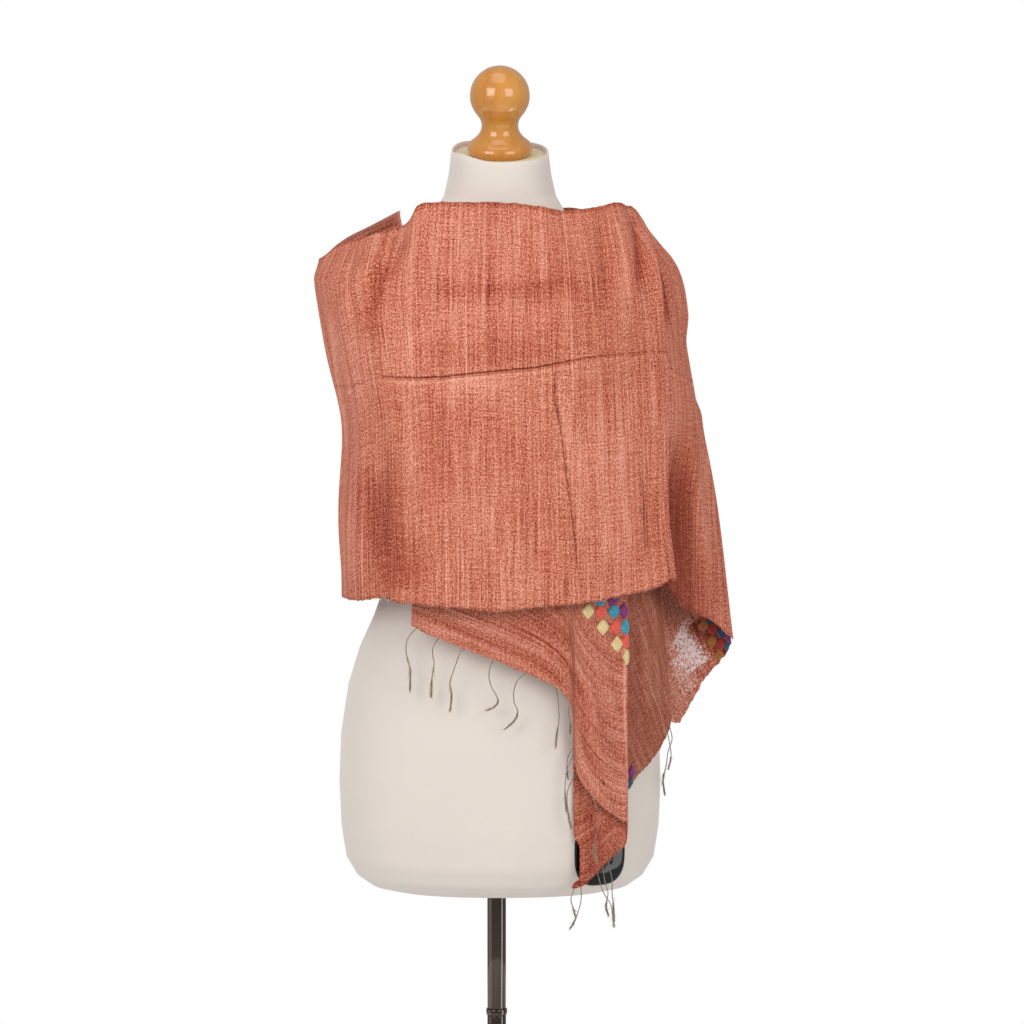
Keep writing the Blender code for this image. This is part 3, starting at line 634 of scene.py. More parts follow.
def silk(name, shade=1.0, contrast=1.0, floats=0.0, shift=0.0, creases=()):
    """Raw silk, in metres on the cloth. Slubs run along v and finer threads along u. floats is
    how much of the pale thread shows, as on the cloth's reverse. shade darkens the whole colour,
    as painted shade for a piece that lies in shade."""
    f = Finish(name, Roughness=0.6, Sheen_Weight=0.03, Sheen_Roughness=0.35,
               Sheen_Tint=(1.0, 0.6, 0.45, 1.0), Specular_IOR_Level=0.08)
    uv = f.cloth_uv()
    wander = f.noise(uv, (60, 12, 0), 3.1 + shift, detail=2, spread=0.0014)
    wander_vector = f.node("ShaderNodeCombineXYZ", {"X": wander}).outputs[0]
    at = f.node("ShaderNodeVectorMath", {0: uv, 1: wander_vector}, operation="ADD").outputs[0]
    broad = f.noise(at, (75, 2.0, 0), 7.3 + shift, detail=2, rough=0.6, spread=0.42)
    streaks = f.noise(at, (230, 4.5, 0), 1.7 + shift, detail=3, rough=0.75, spread=1.1)
    hairs = f.noise(at, (620, 16, 0), 5.9 + shift, detail=2, rough=0.7, spread=1.2)
    warps = f.noise(at, (40, 600, 0), 8.8 + shift, detail=1, spread=0.75)
    speckle = f.noise(at, (600, 460, 0), 2.4 + shift, detail=2, rough=0.9, spread=3.6)
    patches = f.noise(uv, (9, 7, 0), 4.4 + shift, detail=2, spread=0.42)
    pale = f.span(f.noise(at, (300, 3.2, 0), 11.2 + shift), 0.28, 0.55, 0.0, 0.85)
    deep = f.span(f.noise(at, (280, 4.0, 0), 13.9 + shift), 0.30, 0.55, 0.0, -0.85)
    knots = f.span(f.noise(at, (240, 34, 0), 9.6 + shift, detail=0), 0.60, 0.78)
    threads = f.total(broad, streaks, hairs, warps, speckle, patches, pale, deep)
    # The tone field adds painted shade and highlights to the threads' own tone.
    tone = f.total(f.maths("MULTIPLY", threads, contrast), f.maths("MULTIPLY", knots, -1.0), f.field("tone"))
    relief = f.total(f.maths("MULTIPLY", speckle, 0.3), f.maths("MULTIPLY", streaks, 0.35), hairs,
                     f.maths("MULTIPLY", warps, 0.8), f.maths("MULTIPLY", knots, 1.2))
    waver = f.noise(uv, (110, 110, 0), 6.1, detail=2, spread=0.7)
    for crease in creases:
        # Beside a groove, in mm from it: painted shade along the groove and a fainter second line,
        # and a painted highlight on the swelling beside them.
        off, strength = f.total(f.field(crease), waver), f.field(crease + "_on")
        groove = f.span(f.maths("ABSOLUTE", off), 0.15, 1.5, 1.0, 0.0, soft=True)
        second = f.span(f.maths("ABSOLUTE", f.total(off, -2.6)), 0.1, 0.9, 0.4, 0.0)
        after = f.span(f.maths("ABSOLUTE", f.total(off, -5.0)), 0.0, 4.5, 0.45, 0.0, soft=True)
        line = f.maths("MULTIPLY", f.total(groove, second), strength)
        tone = f.total(tone, f.maths("MULTIPLY", line, -1.5), f.maths("MULTIPLY", after, strength))
        relief = f.total(relief, f.maths("MULTIPLY", line, -5.0))
    base = f.ramp(tone, ((-1.7, SILK_DARK), (-0.55, SILK_DEEP), (0.1, SILK_MID), (1.3, SILK_PALE)))
    if floats:
        flecks = f.noise(at, (420, 240, 0), 6.6 + shift, detail=2, rough=0.9, spread=7.5)
        share = f.span(f.total(flecks, f.field("floats")), 0.5, 1.5, 0.0, floats)
        base = f.mixed(share, base, SILK_WHITE)
    f.colour(f.mixed(1.0, base, (shade, shade, shade), "MULTIPLY"))
    f.bump(relief, 0.0003, 0.9)
    return f.material


def plain_cloth(name, colour):
    """Close knitted jersey with a soft nap."""
    f = Finish(name, Roughness=0.9, Sheen_Weight=0.2, Sheen_Roughness=0.5, Specular_IOR_Level=0.2)
    at = f.place()
    cloud = f.noise(at, (14, 14, 14), 1.1, detail=3, spread=0.5)
    fuzz = f.noise(at, (900, 900, 540), 2.2, detail=2, spread=0.5)
    darker = tuple(c * 0.93 for c in colour)
    paler = tuple(min(c * 1.05, 1.0) for c in colour)
    f.colour(f.ramp(f.total(cloud, fuzz), ((-1.0, darker), (0.0, colour), (1.0, paler))))
    f.bump(fuzz, 0.00012, 0.5)
    return f.material


def wood(name):
    """Honey coloured wood, stained and lacquered, with its grain up the knob."""
    f = Finish(name, Roughness=0.28, Coat_Weight=0.8, Coat_Roughness=0.06, Specular_IOR_Level=0.5)
    at = f.place()
    bent = f.noise(at, (14, 14, 5), 0.4, detail=2, spread=0.9)
    rings = f.noise(at, (120, 120, 7), 1.9, detail=3, rough=0.6, spread=0.8)
    pores = f.noise(at, (900, 900, 28), 3.3, detail=1, spread=0.5)
    f.colour(f.ramp(f.total(bent, rings, pores), ((-1.2, (0.42, 0.135, 0.012)), (-0.1, (0.64, 0.26, 0.036)),
                                                  (1.2, (0.80, 0.40, 0.085)))))
    f.bump(pores, 0.00004, 0.4)
    return f.material


def dark_metal(name):
    f = Finish(name, Metallic=0.9)
    at = f.place()
    drawn = f.noise(at, (900, 900, 6), 0.3, detail=2, spread=0.6)
    wear = f.noise(at, (30, 30, 10), 4.3, detail=3, spread=0.7)
    f.colour(f.ramp(f.total(drawn, wear), ((-1.2, (0.045, 0.035, 0.030)), (0, (0.085, 0.066, 0.056)),
                                           (1.2, (0.15, 0.115, 0.095)))))
    f.roughness(f.span(wear, -0.7, 0.7, 0.05, 0.11))
    f.bump(drawn, 0.00002, 0.5)
    return f.material


def black_plate(name):
    f = Finish(name, Roughness=0.10, Specular_IOR_Level=0.18)
    at = f.place()
    swirl = f.noise(at, (60, 60, 60), 0.8, detail=3, spread=0.8)
    f.colour(f.ramp(swirl, ((-1, (0.003, 0.003, 0.003)), (0, (0.005, 0.005, 0.005)),
                            (1, (0.009, 0.009, 0.010)))))
    f.bump(swirl, 0.0002, 0.25)
    return f.material


def thread_finish(name, dark, light):
    f = Finish(name, Roughness=0.8, Sheen_Weight=0.3, Sheen_Roughness=0.5)
    at = f.place()
    mottle = f.noise(at, (420, 420, 160), 6.1, detail=3, spread=1.6)
    f.colour(f.ramp(mottle, ((-0.9, dark), (0.9, light))))
    f.bump(mottle, 0.0002, 0.6)
    return f.material


def satin(name, colour):
    """Satin stitch: fine close threads along u."""
    f = Finish(name, Roughness=0.42, Sheen_Weight=0.5, Sheen_Roughness=0.35, Specular_IOR_Level=0.5)
    uv = f.cloth_uv()
    threads = f.noise(uv, (110, 1100, 0), 1.2, detail=2, spread=1.5)
    tone = f.noise(uv, (260, 260, 0), 3.2, detail=2, spread=0.4)
    darker = tuple(c * 0.62 for c in colour)
    paler = tuple(min(c * 1.25 + 0.03, 1.0) for c in colour)
    f.colour(f.ramp(f.total(threads, tone), ((-0.9, darker), (0.05, colour), (0.9, paler))))
    f.bump(threads, 0.0007, 0.9)
    return f.material


# silk_side and silk_band are the same silk darkened by shade: painted shade, as those pieces lie in shade.
SILK = silk("silk", creases=("across", "upright"))
SILK_TAIL = silk("silk_tail", shade=0.92, shift=21.0)
SILK_SIDE = silk("silk_side", shade=0.66, contrast=0.8, shift=40.0)
SILK_REVERSE = silk("silk_reverse", shade=0.90, contrast=1.3, floats=0.95, shift=57.0)
SILK_BAND = silk("silk_band", shade=0.68, shift=73.0)
SLUB = plain_cloth("dark_slub", (0.07, 0.014, 0.010))
THREAD_END = plain_cloth("pale_thread_end", (0.80, 0.62, 0.55))
JERSEY = plain_cloth("jersey", (0.757, 0.684, 0.622))
CAP = plain_cloth("neck_cap", (0.74, 0.66, 0.40))
WOOD = wood("knob_wood")
METAL = dark_metal("dark_metal")
PLATE = black_plate("black_plate")
THREAD = thread_finish("fringe_thread", (0.05, 0.036, 0.028), (0.40, 0.31, 0.24))
LOOSE_THREAD = thread_finish("fringe_thread_loose", (0.20, 0.12, 0.06), (0.66, 0.47, 0.29))
# ochre, dark_red and navy are those colours darkened as painted shade, for squares in the flap's shadow and on the
# shaded side.
SATIN_COLOURS = {
    "cream": (0.86, 0.66, 0.30), "coral": (0.86, 0.10, 0.055), "turquoise": (0.03, 0.33, 0.47),
    "purple": (0.24, 0.012, 0.16), "ochre": (0.46, 0.15, 0.022), "dark_red": (0.42, 0.016, 0.012),
    "navy": (0.022, 0.06, 0.14),
}
SATIN = {colour: satin("satin_" + colour, rgb) for colour, rgb in SATIN_COLOURS.items()}

# ---------------------------------------------------------------------------------------
# The dress form
TRUNK_TABLE = np.asarray(TRUNK_SECTIONS, float)
TRUNK_SIDES = 144
# The neck cover's edge rounds over the rim and goes down inside it: inward and down, mm.
RIM_STEPS = ((0.25, -0.35), (0.6, -0.5), (1.2, -0.4), (RIM_WIDE, 0.2), (RIM_WIDE, RIM_TALL * 0.5),
             (RIM_WIDE, RIM_TALL))


def trunk_points(turns, heights, out=0.0):
    """Points of the form's skin, a column for each turn. Turn 0 is the front and 90 degrees
    is the viewer's right."""
    half, front, back = (np.interp(heights, TRUNK_TABLE[:, 0], TRUNK_TABLE[:, k]) + out for k in (1, 2, 3))
    side, ahead = np.sin(turns)[:, None], -np.cos(turns)[:, None]
    power = 2 / TRUNK_SQUARENESS
    x = half * np.sign(side) * np.abs(side) ** power
    depth = np.where(ahead < 0, front, back)
    y = depth * np.sign(ahead) * np.abs(ahead) ** power
    lean = np.clip((heights - NECK_SHEAR_FROM) / (NECK_TOP - NECK_SHEAR_FROM), 0, 1)
    z = heights + lean * math.tan(math.radians(NECK_TILT)) * y
    return np.stack([x, y, z], -1)


def neck_frame(lift):
    """Place of what stands on the neck's sloping top."""
    tilt = math.radians(NECK_TILT)
    up = Vector((0, -math.sin(tilt), math.cos(tilt)))
    base = Vector((0, 0, NECK_TOP - RIM_TALL))
    return Matrix.Translation(base + up * lift) @ Matrix.Rotation(tilt, 4, "X")


def build_form():
    turns = np.linspace(0, 2 * math.pi, TRUNK_SIDES, endpoint=False)
    levels = TRUNK_TABLE[:, 0]
    between = [np.linspace(a, b, 4, endpoint=False) for a, b in zip(levels[:-1], levels[1:])]
    heights = np.concatenate(between + [levels[-1:]])
    rim = [trunk_points(turns, heights[-1:], -inward) - (0, 0, sunk) for inward, sunk in RIM_STEPS]
    grid = np.concatenate([trunk_points(turns, heights)] + rim, axis=1)
    # The cover's rim runs unevenly round the cap.
    wave = sum(rise * np.exp(-((np.degrees(turns) - at + 180) % 360 - 180) ** 2 / wide ** 2)
               for at, rise, wide in RIM_WAVES)
    first = len(heights) - 3
    grid[:, first:, 2] += wave[:, None] * smoothstep(np.arange(grid.shape[1] - first) / 2.0)[None]
    count = grid.shape[1]
    points = np.concatenate([grid.reshape(-1, 3), [[0, 0, heights[0]]], [[0, 0, NECK_TOP - RIM_TALL]]])
    faces = []
    for i in range(TRUNK_SIDES):
        a, b = i * count, ((i + 1) % TRUNK_SIDES) * count
        faces += [(a + j, b + j, b + j + 1, a + j + 1) for j in range(count - 1)]
        faces.append((a, len(points) - 2, b))
        faces.append((a + count - 1, b + count - 1, len(points) - 1))
    trunk = add_mesh("dress_form_trunk", points, faces, JERSEY)
    finish_piece(trunk, ["form_trunk"], sharp=50)

    cap_profile = ((0, CAP_THICK), (CAP_RADIUS - 2, CAP_THICK), (CAP_RADIUS - 0.6, CAP_THICK - 0.2),
                   (CAP_RADIUS, CAP_THICK * 0.5), (CAP_RADIUS - 0.2, 0.2), (CAP_RADIUS - 1, 0), (0, 0))
    cap = turned("dress_form_neck_cap", cap_profile, 96, CAP, neck_frame(SEAM))
    finish_piece(cap, ["form_neck_cap"])
    knob_profile = [(0, KNOB_PROFILE[0][1])] + finer(KNOB_PROFILE[:-1], 5)[1:].tolist() + [(0, 0)]
    knob = turned("dress_form_knob", knob_profile, 96, WOOD, neck_frame(CAP_THICK + SEAM * 2))
    finish_piece(knob, ["form_knob"], sharp=50)
    return BVHTree.FromPolygons(points.tolist(), faces)


def build_stand():
    place = Matrix.Translation((POLE_X, 0, 0))

    def rod(name, node, radius, low, high, edge):
        """An upright round bar whose ends are rounded over an edge."""
        bend = edge * 0.3
        profile = ((0, high), (radius - edge, high), (radius - bend, high - bend), (radius, high - edge),
                   (radius, low + edge), (radius - bend, low + bend), (radius - edge, low), (0, low))
        finish_piece(turned(name, profile, 64, METAL, place), [node], sharp=35)

    low, high = JOINT_HEIGHT - JOINT_TALL / 2, JOINT_HEIGHT + JOINT_TALL / 2
    top, foot = TRUNK_SECTIONS[0][0] - SEAM, BASE_PROFILE[0][1] + SEAM
    rod("stand_upper_pole", "stand_pole_upper", POLE_RADIUS, high + SEAM, top, 0.6)
    rod("stand_joint_ring", "stand_joint", JOINT_RADIUS, low, high, 1.2)
    rod("stand_lower_pole", "stand_pole_lower", POLE_RADIUS, foot, low - SEAM, 0.6)
    base = turned("stand_round_base", BASE_PROFILE, 128, METAL, place)
    finish_piece(base, ["stand_base"], sharp=40)


def build_plate():
    """The bare oval plate on the form's lower front, as rings laid on the form's skin."""
    # How large each ring is, and how much of the thickness it has, from the rim inwards.
    shares, sides = (1.0, 0.97, 0.9, 0.75, 0.5, 0.25), 48
    lifts = (0.55, 0.85, 1.0, 1.0, 1.0, 1.0)
    points, faces = [], []

    def lay(x, z, out):
        half = np.interp(z, TRUNK_TABLE[:, 0], TRUNK_TABLE[:, 1])
        turn = math.copysign(math.asin(min(abs(x) / half, 1.0) ** (TRUNK_SQUARENESS / 2)), x)
        return trunk_points(np.array([turn]), np.array([z]), out)[0, 0]

    for outside in (True, False):
        for share, lift in zip(shares, lifts):
            for k in range(sides):
                turn = 2 * math.pi * k / sides
                right, up = (math.copysign(abs(part) ** (2 / PATCH_SQUARENESS), part)
                             for part in (math.cos(turn), math.sin(turn)))
                x = PATCH_CENTRE[0] + PATCH_HALF[0] * share * right
                z = PATCH_CENTRE[1] + PATCH_HALF[1] * share * up
                points.append(lay(x, z, PATCH_CLEAR + (PATCH_THICK * lift if outside else 0)))
        points.append(lay(*PATCH_CENTRE, PATCH_CLEAR + (PATCH_THICK if outside else 0)))
    half = len(points) // 2
    for base, flip in ((0, False), (half, True)):
        for k in range(sides):
            after = (k + 1) % sides
            for r in range(len(shares) - 1):
                a, b = base + r * sides, base + (r + 1) * sides
                face = (a + k, a + after, b + after, b + k)
                faces.append(face[::-1] if flip else face)
            last = base + (len(shares) - 1) * sides
            face = (last + k, last + after, base + half - 1)
            faces.append(face[::-1] if flip else face)
    for k in range(sides):
        after = (k + 1) % sides
        faces.append((after, k, k + half, after + half))
    plate = add_mesh("dress_form_plate", points, faces, PLATE)
    finish_piece(plate, ["form_patch"])


# ---------------------------------------------------------------------------------------
# The wound cloth: one ring of silk round the shoulders, with a pleat before the flap.
RING_ROWS = np.asarray(FRONT_ROWS + FLAP_ROWS + BACK_ROWS, float)
PLEAT_ROW = len(FRONT_ROWS) - 1     # the row along the pleat's edge
PLEAT_TOP, PLEAT_FADE = 1150.0, 110.0       # the pleat begins here and is full that much lower
PLEAT_COLUMNS = 7                   # how many columns its hidden layer has
PLEAT_DEPTH = 0.55                  # how far its middle layer goes back, in rows of the table
PLEAT_LIFT = 1.5                    # how far its outer layer stands out, mm
PLEAT_SINK = 5.0                    # how far its inner layer lies back, mm
PLEAT_DROP = 15.0                   # how much lower its inner layer's hem is, mm
FLAP_LEAN = 70.0                    # how far threads lean across the flap's height, mm
RING_COLUMNS, RING_TALL = 372, 118
# How densely the columns stand, by row of the table.
RING_DENSITY = ((0, 2, 3, 20, 21, len(RING_ROWS)), (0.8, 1, 1.15, 1.15, 0.6, 0.6))


def ring_point(row, level):
    """A point of the wound cloth by its row (0 to 26) and level (0 neck edge to 5 hem)."""
    across = ring_weights(len(RING_ROWS), [row])[0]
    down = curve_weights(RING_ROWS.shape[1], [level])[0]
    return np.einsum("i,j,ijk->k", across, down, RING_ROWS)


def wound_grid():
    """The ring's points, with the pleat folded in."""
    rings = len(RING_ROWS)
    levels = np.linspace(0, RING_ROWS.shape[1] - 1, RING_TALL)
    places = even_places(RING_ROWS, RING_COLUMNS + 1, closed=True, density=RING_DENSITY)[:-1]
    before, after = places[places <= PLEAT_ROW], places[places > PLEAT_ROW]
    down_weights = curve_weights(RING_ROWS.shape[1], levels)
    lines = np.einsum("bj,ijk->ibk", down_weights, RING_ROWS)         # (rows, levels, 3)
    fold = smoothstep((PLEAT_TOP - lines[PLEAT_ROW, :, 2]) / PLEAT_FADE)      # 0 above the pleat, 1 in it
    # Each column: its place in the table at each level, and its lift as a share of PLEAT_LIFT.
    columns = []
    for place in before:
        columns.append((np.full(RING_TALL, place), smoothstep((place - PLEAT_ROW + 1.6) / 1.5) * fold))
    start = PLEAT_ROW + 0.15 - (PLEAT_DEPTH + 0.15) * fold
    sink = PLEAT_SINK / PLEAT_LIFT
    for k in range(1, PLEAT_COLUMNS + 1):
        share = k / (PLEAT_COLUMNS + 1)
        columns.append((PLEAT_ROW + (start - PLEAT_ROW) * share, (1 - (1 + sink) * share) * fold))
    for place in after:
        share = (place - PLEAT_ROW) / (rings - PLEAT_ROW)
        moved = start + (rings - start) * share
        columns.append((moved, -sink * (1 - smoothstep((place - PLEAT_ROW) / 2.2)) * fold))
    # The inner layer's hem hangs lower than the outer's, and beside the fold its face is painted
    # in shade. Past the pleat's edge the cloth drops and is painted in shade; both fade with the rows
    # past it.
    drops, shades = np.zeros((len(columns), RING_TALL)), np.zeros((len(columns), RING_TALL))
    low = smoothstep((levels - 3.6) / (levels[-1] - 3.6))
    for i in range(len(before), len(columns)):
        k = i - len(before)
        past = after[k - PLEAT_COLUMNS] - PLEAT_ROW if k >= PLEAT_COLUMNS else 0.0
        turned_in = min((k + 1) / PLEAT_COLUMNS, 1.0)
        drops[i] = PLEAT_DROP * low * fold * smoothstep(past / 0.6) * (1 - smoothstep((past - 0.7) / 1.1))
        depth = (0.3 + 0.9 * (1 - smoothstep((past - 1.1) / 1.4))) * (1 - smoothstep((past - 1.7) / 1.1))
        shades[i] = -fold * turned_in * depth
    grid = np.array([np.einsum("bi,ibk->bk", ring_weights(rings, place), lines) for place, _ in columns])
    along = np.roll(grid, -8, 0) - np.roll(grid, 8, 0)
    outward = unit(np.cross(np.gradient(grid, axis=1), along))
    # Across the pleat the columns turn back, so the outward side is taken from beside it.
    first, last = len(before) - 9, len(before) + PLEAT_COLUMNS + 9
    share = np.linspace(0, 1, last - first)[:, None, None]
    outward[first:last] = outward[first - 1] + (outward[last] - outward[first - 1]) * share
    lift = np.stack([lift for _, lift in columns]) * PLEAT_LIFT
    grid = grid + unit(outward) * lift[..., None]
    grid[..., 2] -= drops
    # Threads lean over the flap, square to its rising hem.
    past = np.array([place[0] for place, _ in columns]) - PLEAT_ROW
    over = smoothstep(past / 3.2) * (1 - smoothstep((past - 3.4) / 7.0))
    lean = (over * FLAP_LEAN)[:, None] * (levels / levels[-1])[None]
    return grid, shades, lean


# Folds that the camera sees on the wound cloth: half width and height in mm, tone, and a path
# in the frame's pixels. Below zero a height is a trough and a tone is darker. Along the folds the
# tone is painted shade, in troughs and beside them, and painted highlight on ridges.
SEEN_FOLDS = (
    # What the storage creases throw up beside them.
    (6.0, 0.9, 0.22, ((405, 390), (461, 387), (500, 384), (550, 379), (595, 371), (650, 364))),
    (6.5, 0.7, -0.20, ((420, 366), (461, 364), (500, 360), (540, 356), (575, 350))),
    (6.5, 0.9, 0.15, ((566, 385), (571, 430), (577, 470), (583, 520), (590, 560))),
    # Pleats gathered on the right shoulder.
    (6.5, 1.6, 0.22, ((617, 205), (621, 228), (625, 262), (627, 300), (628, 330))),
    (5.5, -4.4, -0.75, ((632, 210), (637, 232), (640, 262), (641, 300))),
    (6.0, 3.6, 0.15, ((645, 212), (650, 235), (655, 265), (660, 300), (662, 345))),
    (6.5, -7.5, -0.75, ((655, 230), (661, 258), (667, 292), (670, 340))),
    (7.0, 2.6, 0.10, ((668, 256), (676, 282), (681, 318), (685, 350))),
    (5.5, -1.8, -0.25, ((600, 208), (602, 240), (606, 280), (607, 320))),
    (14.0, -2.4, 0.0, ((640, 212), (658, 240), (670, 262))),
    (26.0, 0.0, -0.25, ((640, 235), (655, 280), (672, 330))),
    # Soft falls from the neck edge and the left shoulder.
    (11.0, 2.2, 0.10, ((424, 206), (419, 240), (411, 285), (402, 330))),
    (10.0, -3.0, -0.38, ((408, 232), (394, 256), (376, 290), (362, 335))),
    (9.0, 2.0, 0.05, ((392, 240), (370, 262), (350, 296), (340, 340))),
    (24.0, 0.0, -0.42, ((392, 250), (376, 300), (372, 350))),
    (14.0, 2.0, 0.16, ((462, 208), (458, 250), (450, 300))),
    (12.0, -1.8, -0.12, ((522, 212), (524, 255), (524, 300), (520, 340))),
    (16.0, 2.0, 0.10, ((540, 215), (545, 260), (548, 305))),
    (10.0, 2.0, 0.55, ((331, 300), (335, 350), (344, 410), (348, 470))),
    (28.0, -2.5, -0.75, ((362, 455), (376, 510), (394, 560), (412, 600))),
    (15.0, 1.6, 0.10, ((345, 500), (350, 550), (354, 595))),
    (15.0, 2.0, 0.10, ((396, 400), (412, 470), (430, 530), (446, 590))),
    (20.0, 1.6, 0.34, ((440, 392), (480, 390), (530, 388))),
    (12.0, -1.6, -0.12, ((528, 430), (532, 480), (538, 540), (545, 600))),
    (22.0, 1.6, 0.26, ((600, 400), (606, 450), (610, 520), (612, 580))),
    (10.0, -1.6, -0.14, ((640, 400), (646, 470), (650, 530), (652, 585))),
    # Bands across the chest that are only darker or paler, with no fold; the darker one just above
    # the crease is painted shade.
    (8.0, 0.0, 0.18, ((430, 316), (480, 314), (540, 312), (600, 306))),
    (8.0, 0.0, -0.40, ((410, 292), (470, 290), (540, 287), (610, 282))),
    (11.0, 0.0, -0.28, ((400, 348), (450, 350), (520, 346), (560, 340))),
    # The flap: folds that fan to its point.
    (7.0, 1.6, 0.20, ((688, 420), (696, 480), (706, 545), (716, 600))),
)
# The sharp storage creases: paths in the frame's pixels, how strong they are along them (the
# strength of their painted shade and highlight), and how the one across goes on round the back,
# by row and level.
ACROSS_SEEN = ((382, 376), (403, 377.5), (432, 377.5), (461, 375), (500, 371), (535, 367.5), (562, 362.5),
               (590, 357.5), (618, 354.5), (645, 352), (668, 352))
ACROSS_HIDDEN = ((15.4, 2.22), (16, 2.26), (17, 2.34), (18, 2.40), (19, 2.42), (20, 2.42), (21, 2.43),
                 (22, 2.45), (23, 2.47), (24, 2.48), (25, 2.48), (0, 2.50), (1, 2.50), (2, 2.48),
                 (3, 2.47), (4, 2.46))
ACROSS_STRENGTH = (0.35, 0.9, 1.0, 1.0, 1.0, 0.95, 0.7, 0.5, 0.4, 0.45, 0.3, 0.15, 0.15) \
    + (0.35,) * 14 + (0.2,)
UPRIGHT_SEEN = ((562, 221), (561, 282), (558, 328), (555.5, 366), (555, 400), (560, 425), (565, 466), (571, 508),
                (576, 549), (580, 588))
UPRIGHT_STRENGTH = (0.1, 0.15, 0.2, 0.45, 0.75, 0.6, 0.45, 0.55, 0.45, 0.3)
# Folds on the sides and back: half width, height, tone, and a path by row and level of the
# wound cloth's table (row 0 is behind the left shoulder, 19 is the tip, 23 the middle of the back).
# The tone of these folds is painted shade and highlight, as on the front.
HIDDEN_FOLDS = (
    (24.0, -5.5, 0.0, ((17.9, 1.5), (17.9, 1.9), (18.0, 2.3), (18.1, 2.6), (18.3, 2.9))),
    (9.0, 4.0, 0.20, ((17.8, 0.2), (17.9, 1.2), (18.0, 2.2), (18.1, 3.2))),
    (7.0, -3.0, -0.35, ((18.6, 0.2), (18.7, 1.4), (18.9, 2.6), (19.0, 3.8))),
    (9.0, 3.5, 0.15, ((19.3, 0.5), (19.4, 1.8), (19.6, 3.2), (19.7, 4.6))),
    (8.0, -3.0, -0.30, ((20.3, 0.3), (20.4, 1.6), (20.5, 3.0), (20.4, 4.5))),
    (12.0, 4.0, 0.15, ((21.1, 0.0), (21.0, 1.4), (20.9, 2.8), (20.8, 4.2))),
    (10.0, -3.4, -0.25, ((22.1, 0.8), (22.2, 2.2), (22.3, 3.6), (22.2, 4.9))),
    (13.0, 4.0, 0.18, ((23.0, 0.0), (22.9, 1.2), (22.8, 2.4), (22.9, 3.6))),
    (10.0, -3.0, -0.22, ((23.8, 0.4), (23.9, 1.9), (23.9, 3.4), (23.8, 4.8))),
    (12.0, 3.6, 0.15, ((24.6, 1.2), (24.7, 2.6), (24.8, 4.0), (24.8, 5.0))),
    (10.0, -3.2, -0.25, ((25.5, 0.1), (25.4, 1.4), (25.5, 2.8), (25.6, 4.2))),
    (12.0, 3.4, 0.12, ((0.6, 0.6), (0.7, 2.0), (0.7, 3.4), (0.8, 4.8))),
    (10.0, -3.0, -0.25, ((1.5, 0.8), (1.5, 2.2), (1.5, 3.6), (1.5, 4.9))),
    (11.0, 3.0, 0.15, ((2.4, 1.0), (2.4, 2.4), (2.4, 3.8), (2.5, 4.9))),
)
HEM_RAG = 0.9           # how unevenly the cut edges run, mm
SELVEDGE_ROLL = (0.21, 0.7, 0.42, 0.14)     # how far the topmost rows of points roll out, mm

# Where the upper edge runs over the shoulder band, and where the notch is and how wide, in the
# frame's pixels.
BAND_LINE = ((317, 268), (324, 258), (335.5, 249.5), (353, 241.5), (371, 236), (389, 231), (406, 226))
NOTCH_AT, NOTCH_WIDE = 408, 15
NOTCH_DEEP = 15         # how much lower the back's edge is behind the notch, mm
LAP = 1.5               # how far the edge stands off the band under it, mm
LAP_BACK = 70           # the edge farther back than this keeps its place, mm
LAP_ROWS = 16.0         # over how many rows of points the cloth below follows
LAP_FADE = 8            # over how many columns the move fades beside the line


def lap_over_band(cloth, band):
    """Moves the upper edge to its line over the band, and lowers the back behind the notch."""
    edge = cloth.grid[:, 0]
    seen = np.array([frame_place(point) for point in edge])
    line = np.array(BAND_LINE)
    spots, moves = [], []
    for i, (x, _) in enumerate(seen):
        if edge[i, 1] > LAP_BACK or not line[0, 0] < x < line[-1, 0]:
            continue
        eye, ray = sight(x, np.interp(x, line[:, 0], line[:, 1]))
        place, normal, _, _ = band.tree.ray_cast(eye, ray)
        if place is not None:
            spots.append(i)
            moves.append(np.array(place + facing(normal, -ray) * LAP) - edge[i])
    columns = np.arange(len(edge))
    fade = smoothstep((columns - spots[0] + LAP_FADE) / LAP_FADE)
    fade = fade * smoothstep((spots[-1] + LAP_FADE - columns) / LAP_FADE)
    shift = np.stack([np.convolve(np.interp(columns, spots, values) * fade, bell(9), mode="same")
                      for values in np.transpose(moves)], 1)
    notch = np.exp(-((seen[:, 0] - NOTCH_AT) / NOTCH_WIDE) ** 2) * (edge[:, 1] > 0)
    shift[:, 2] -= notch * NOTCH_DEEP
    follow = 1 - smoothstep(np.arange(cloth.grid.shape[1]) / LAP_ROWS)
    cloth.grid = cloth.grid + shift[:, None] * follow[None, :, None]


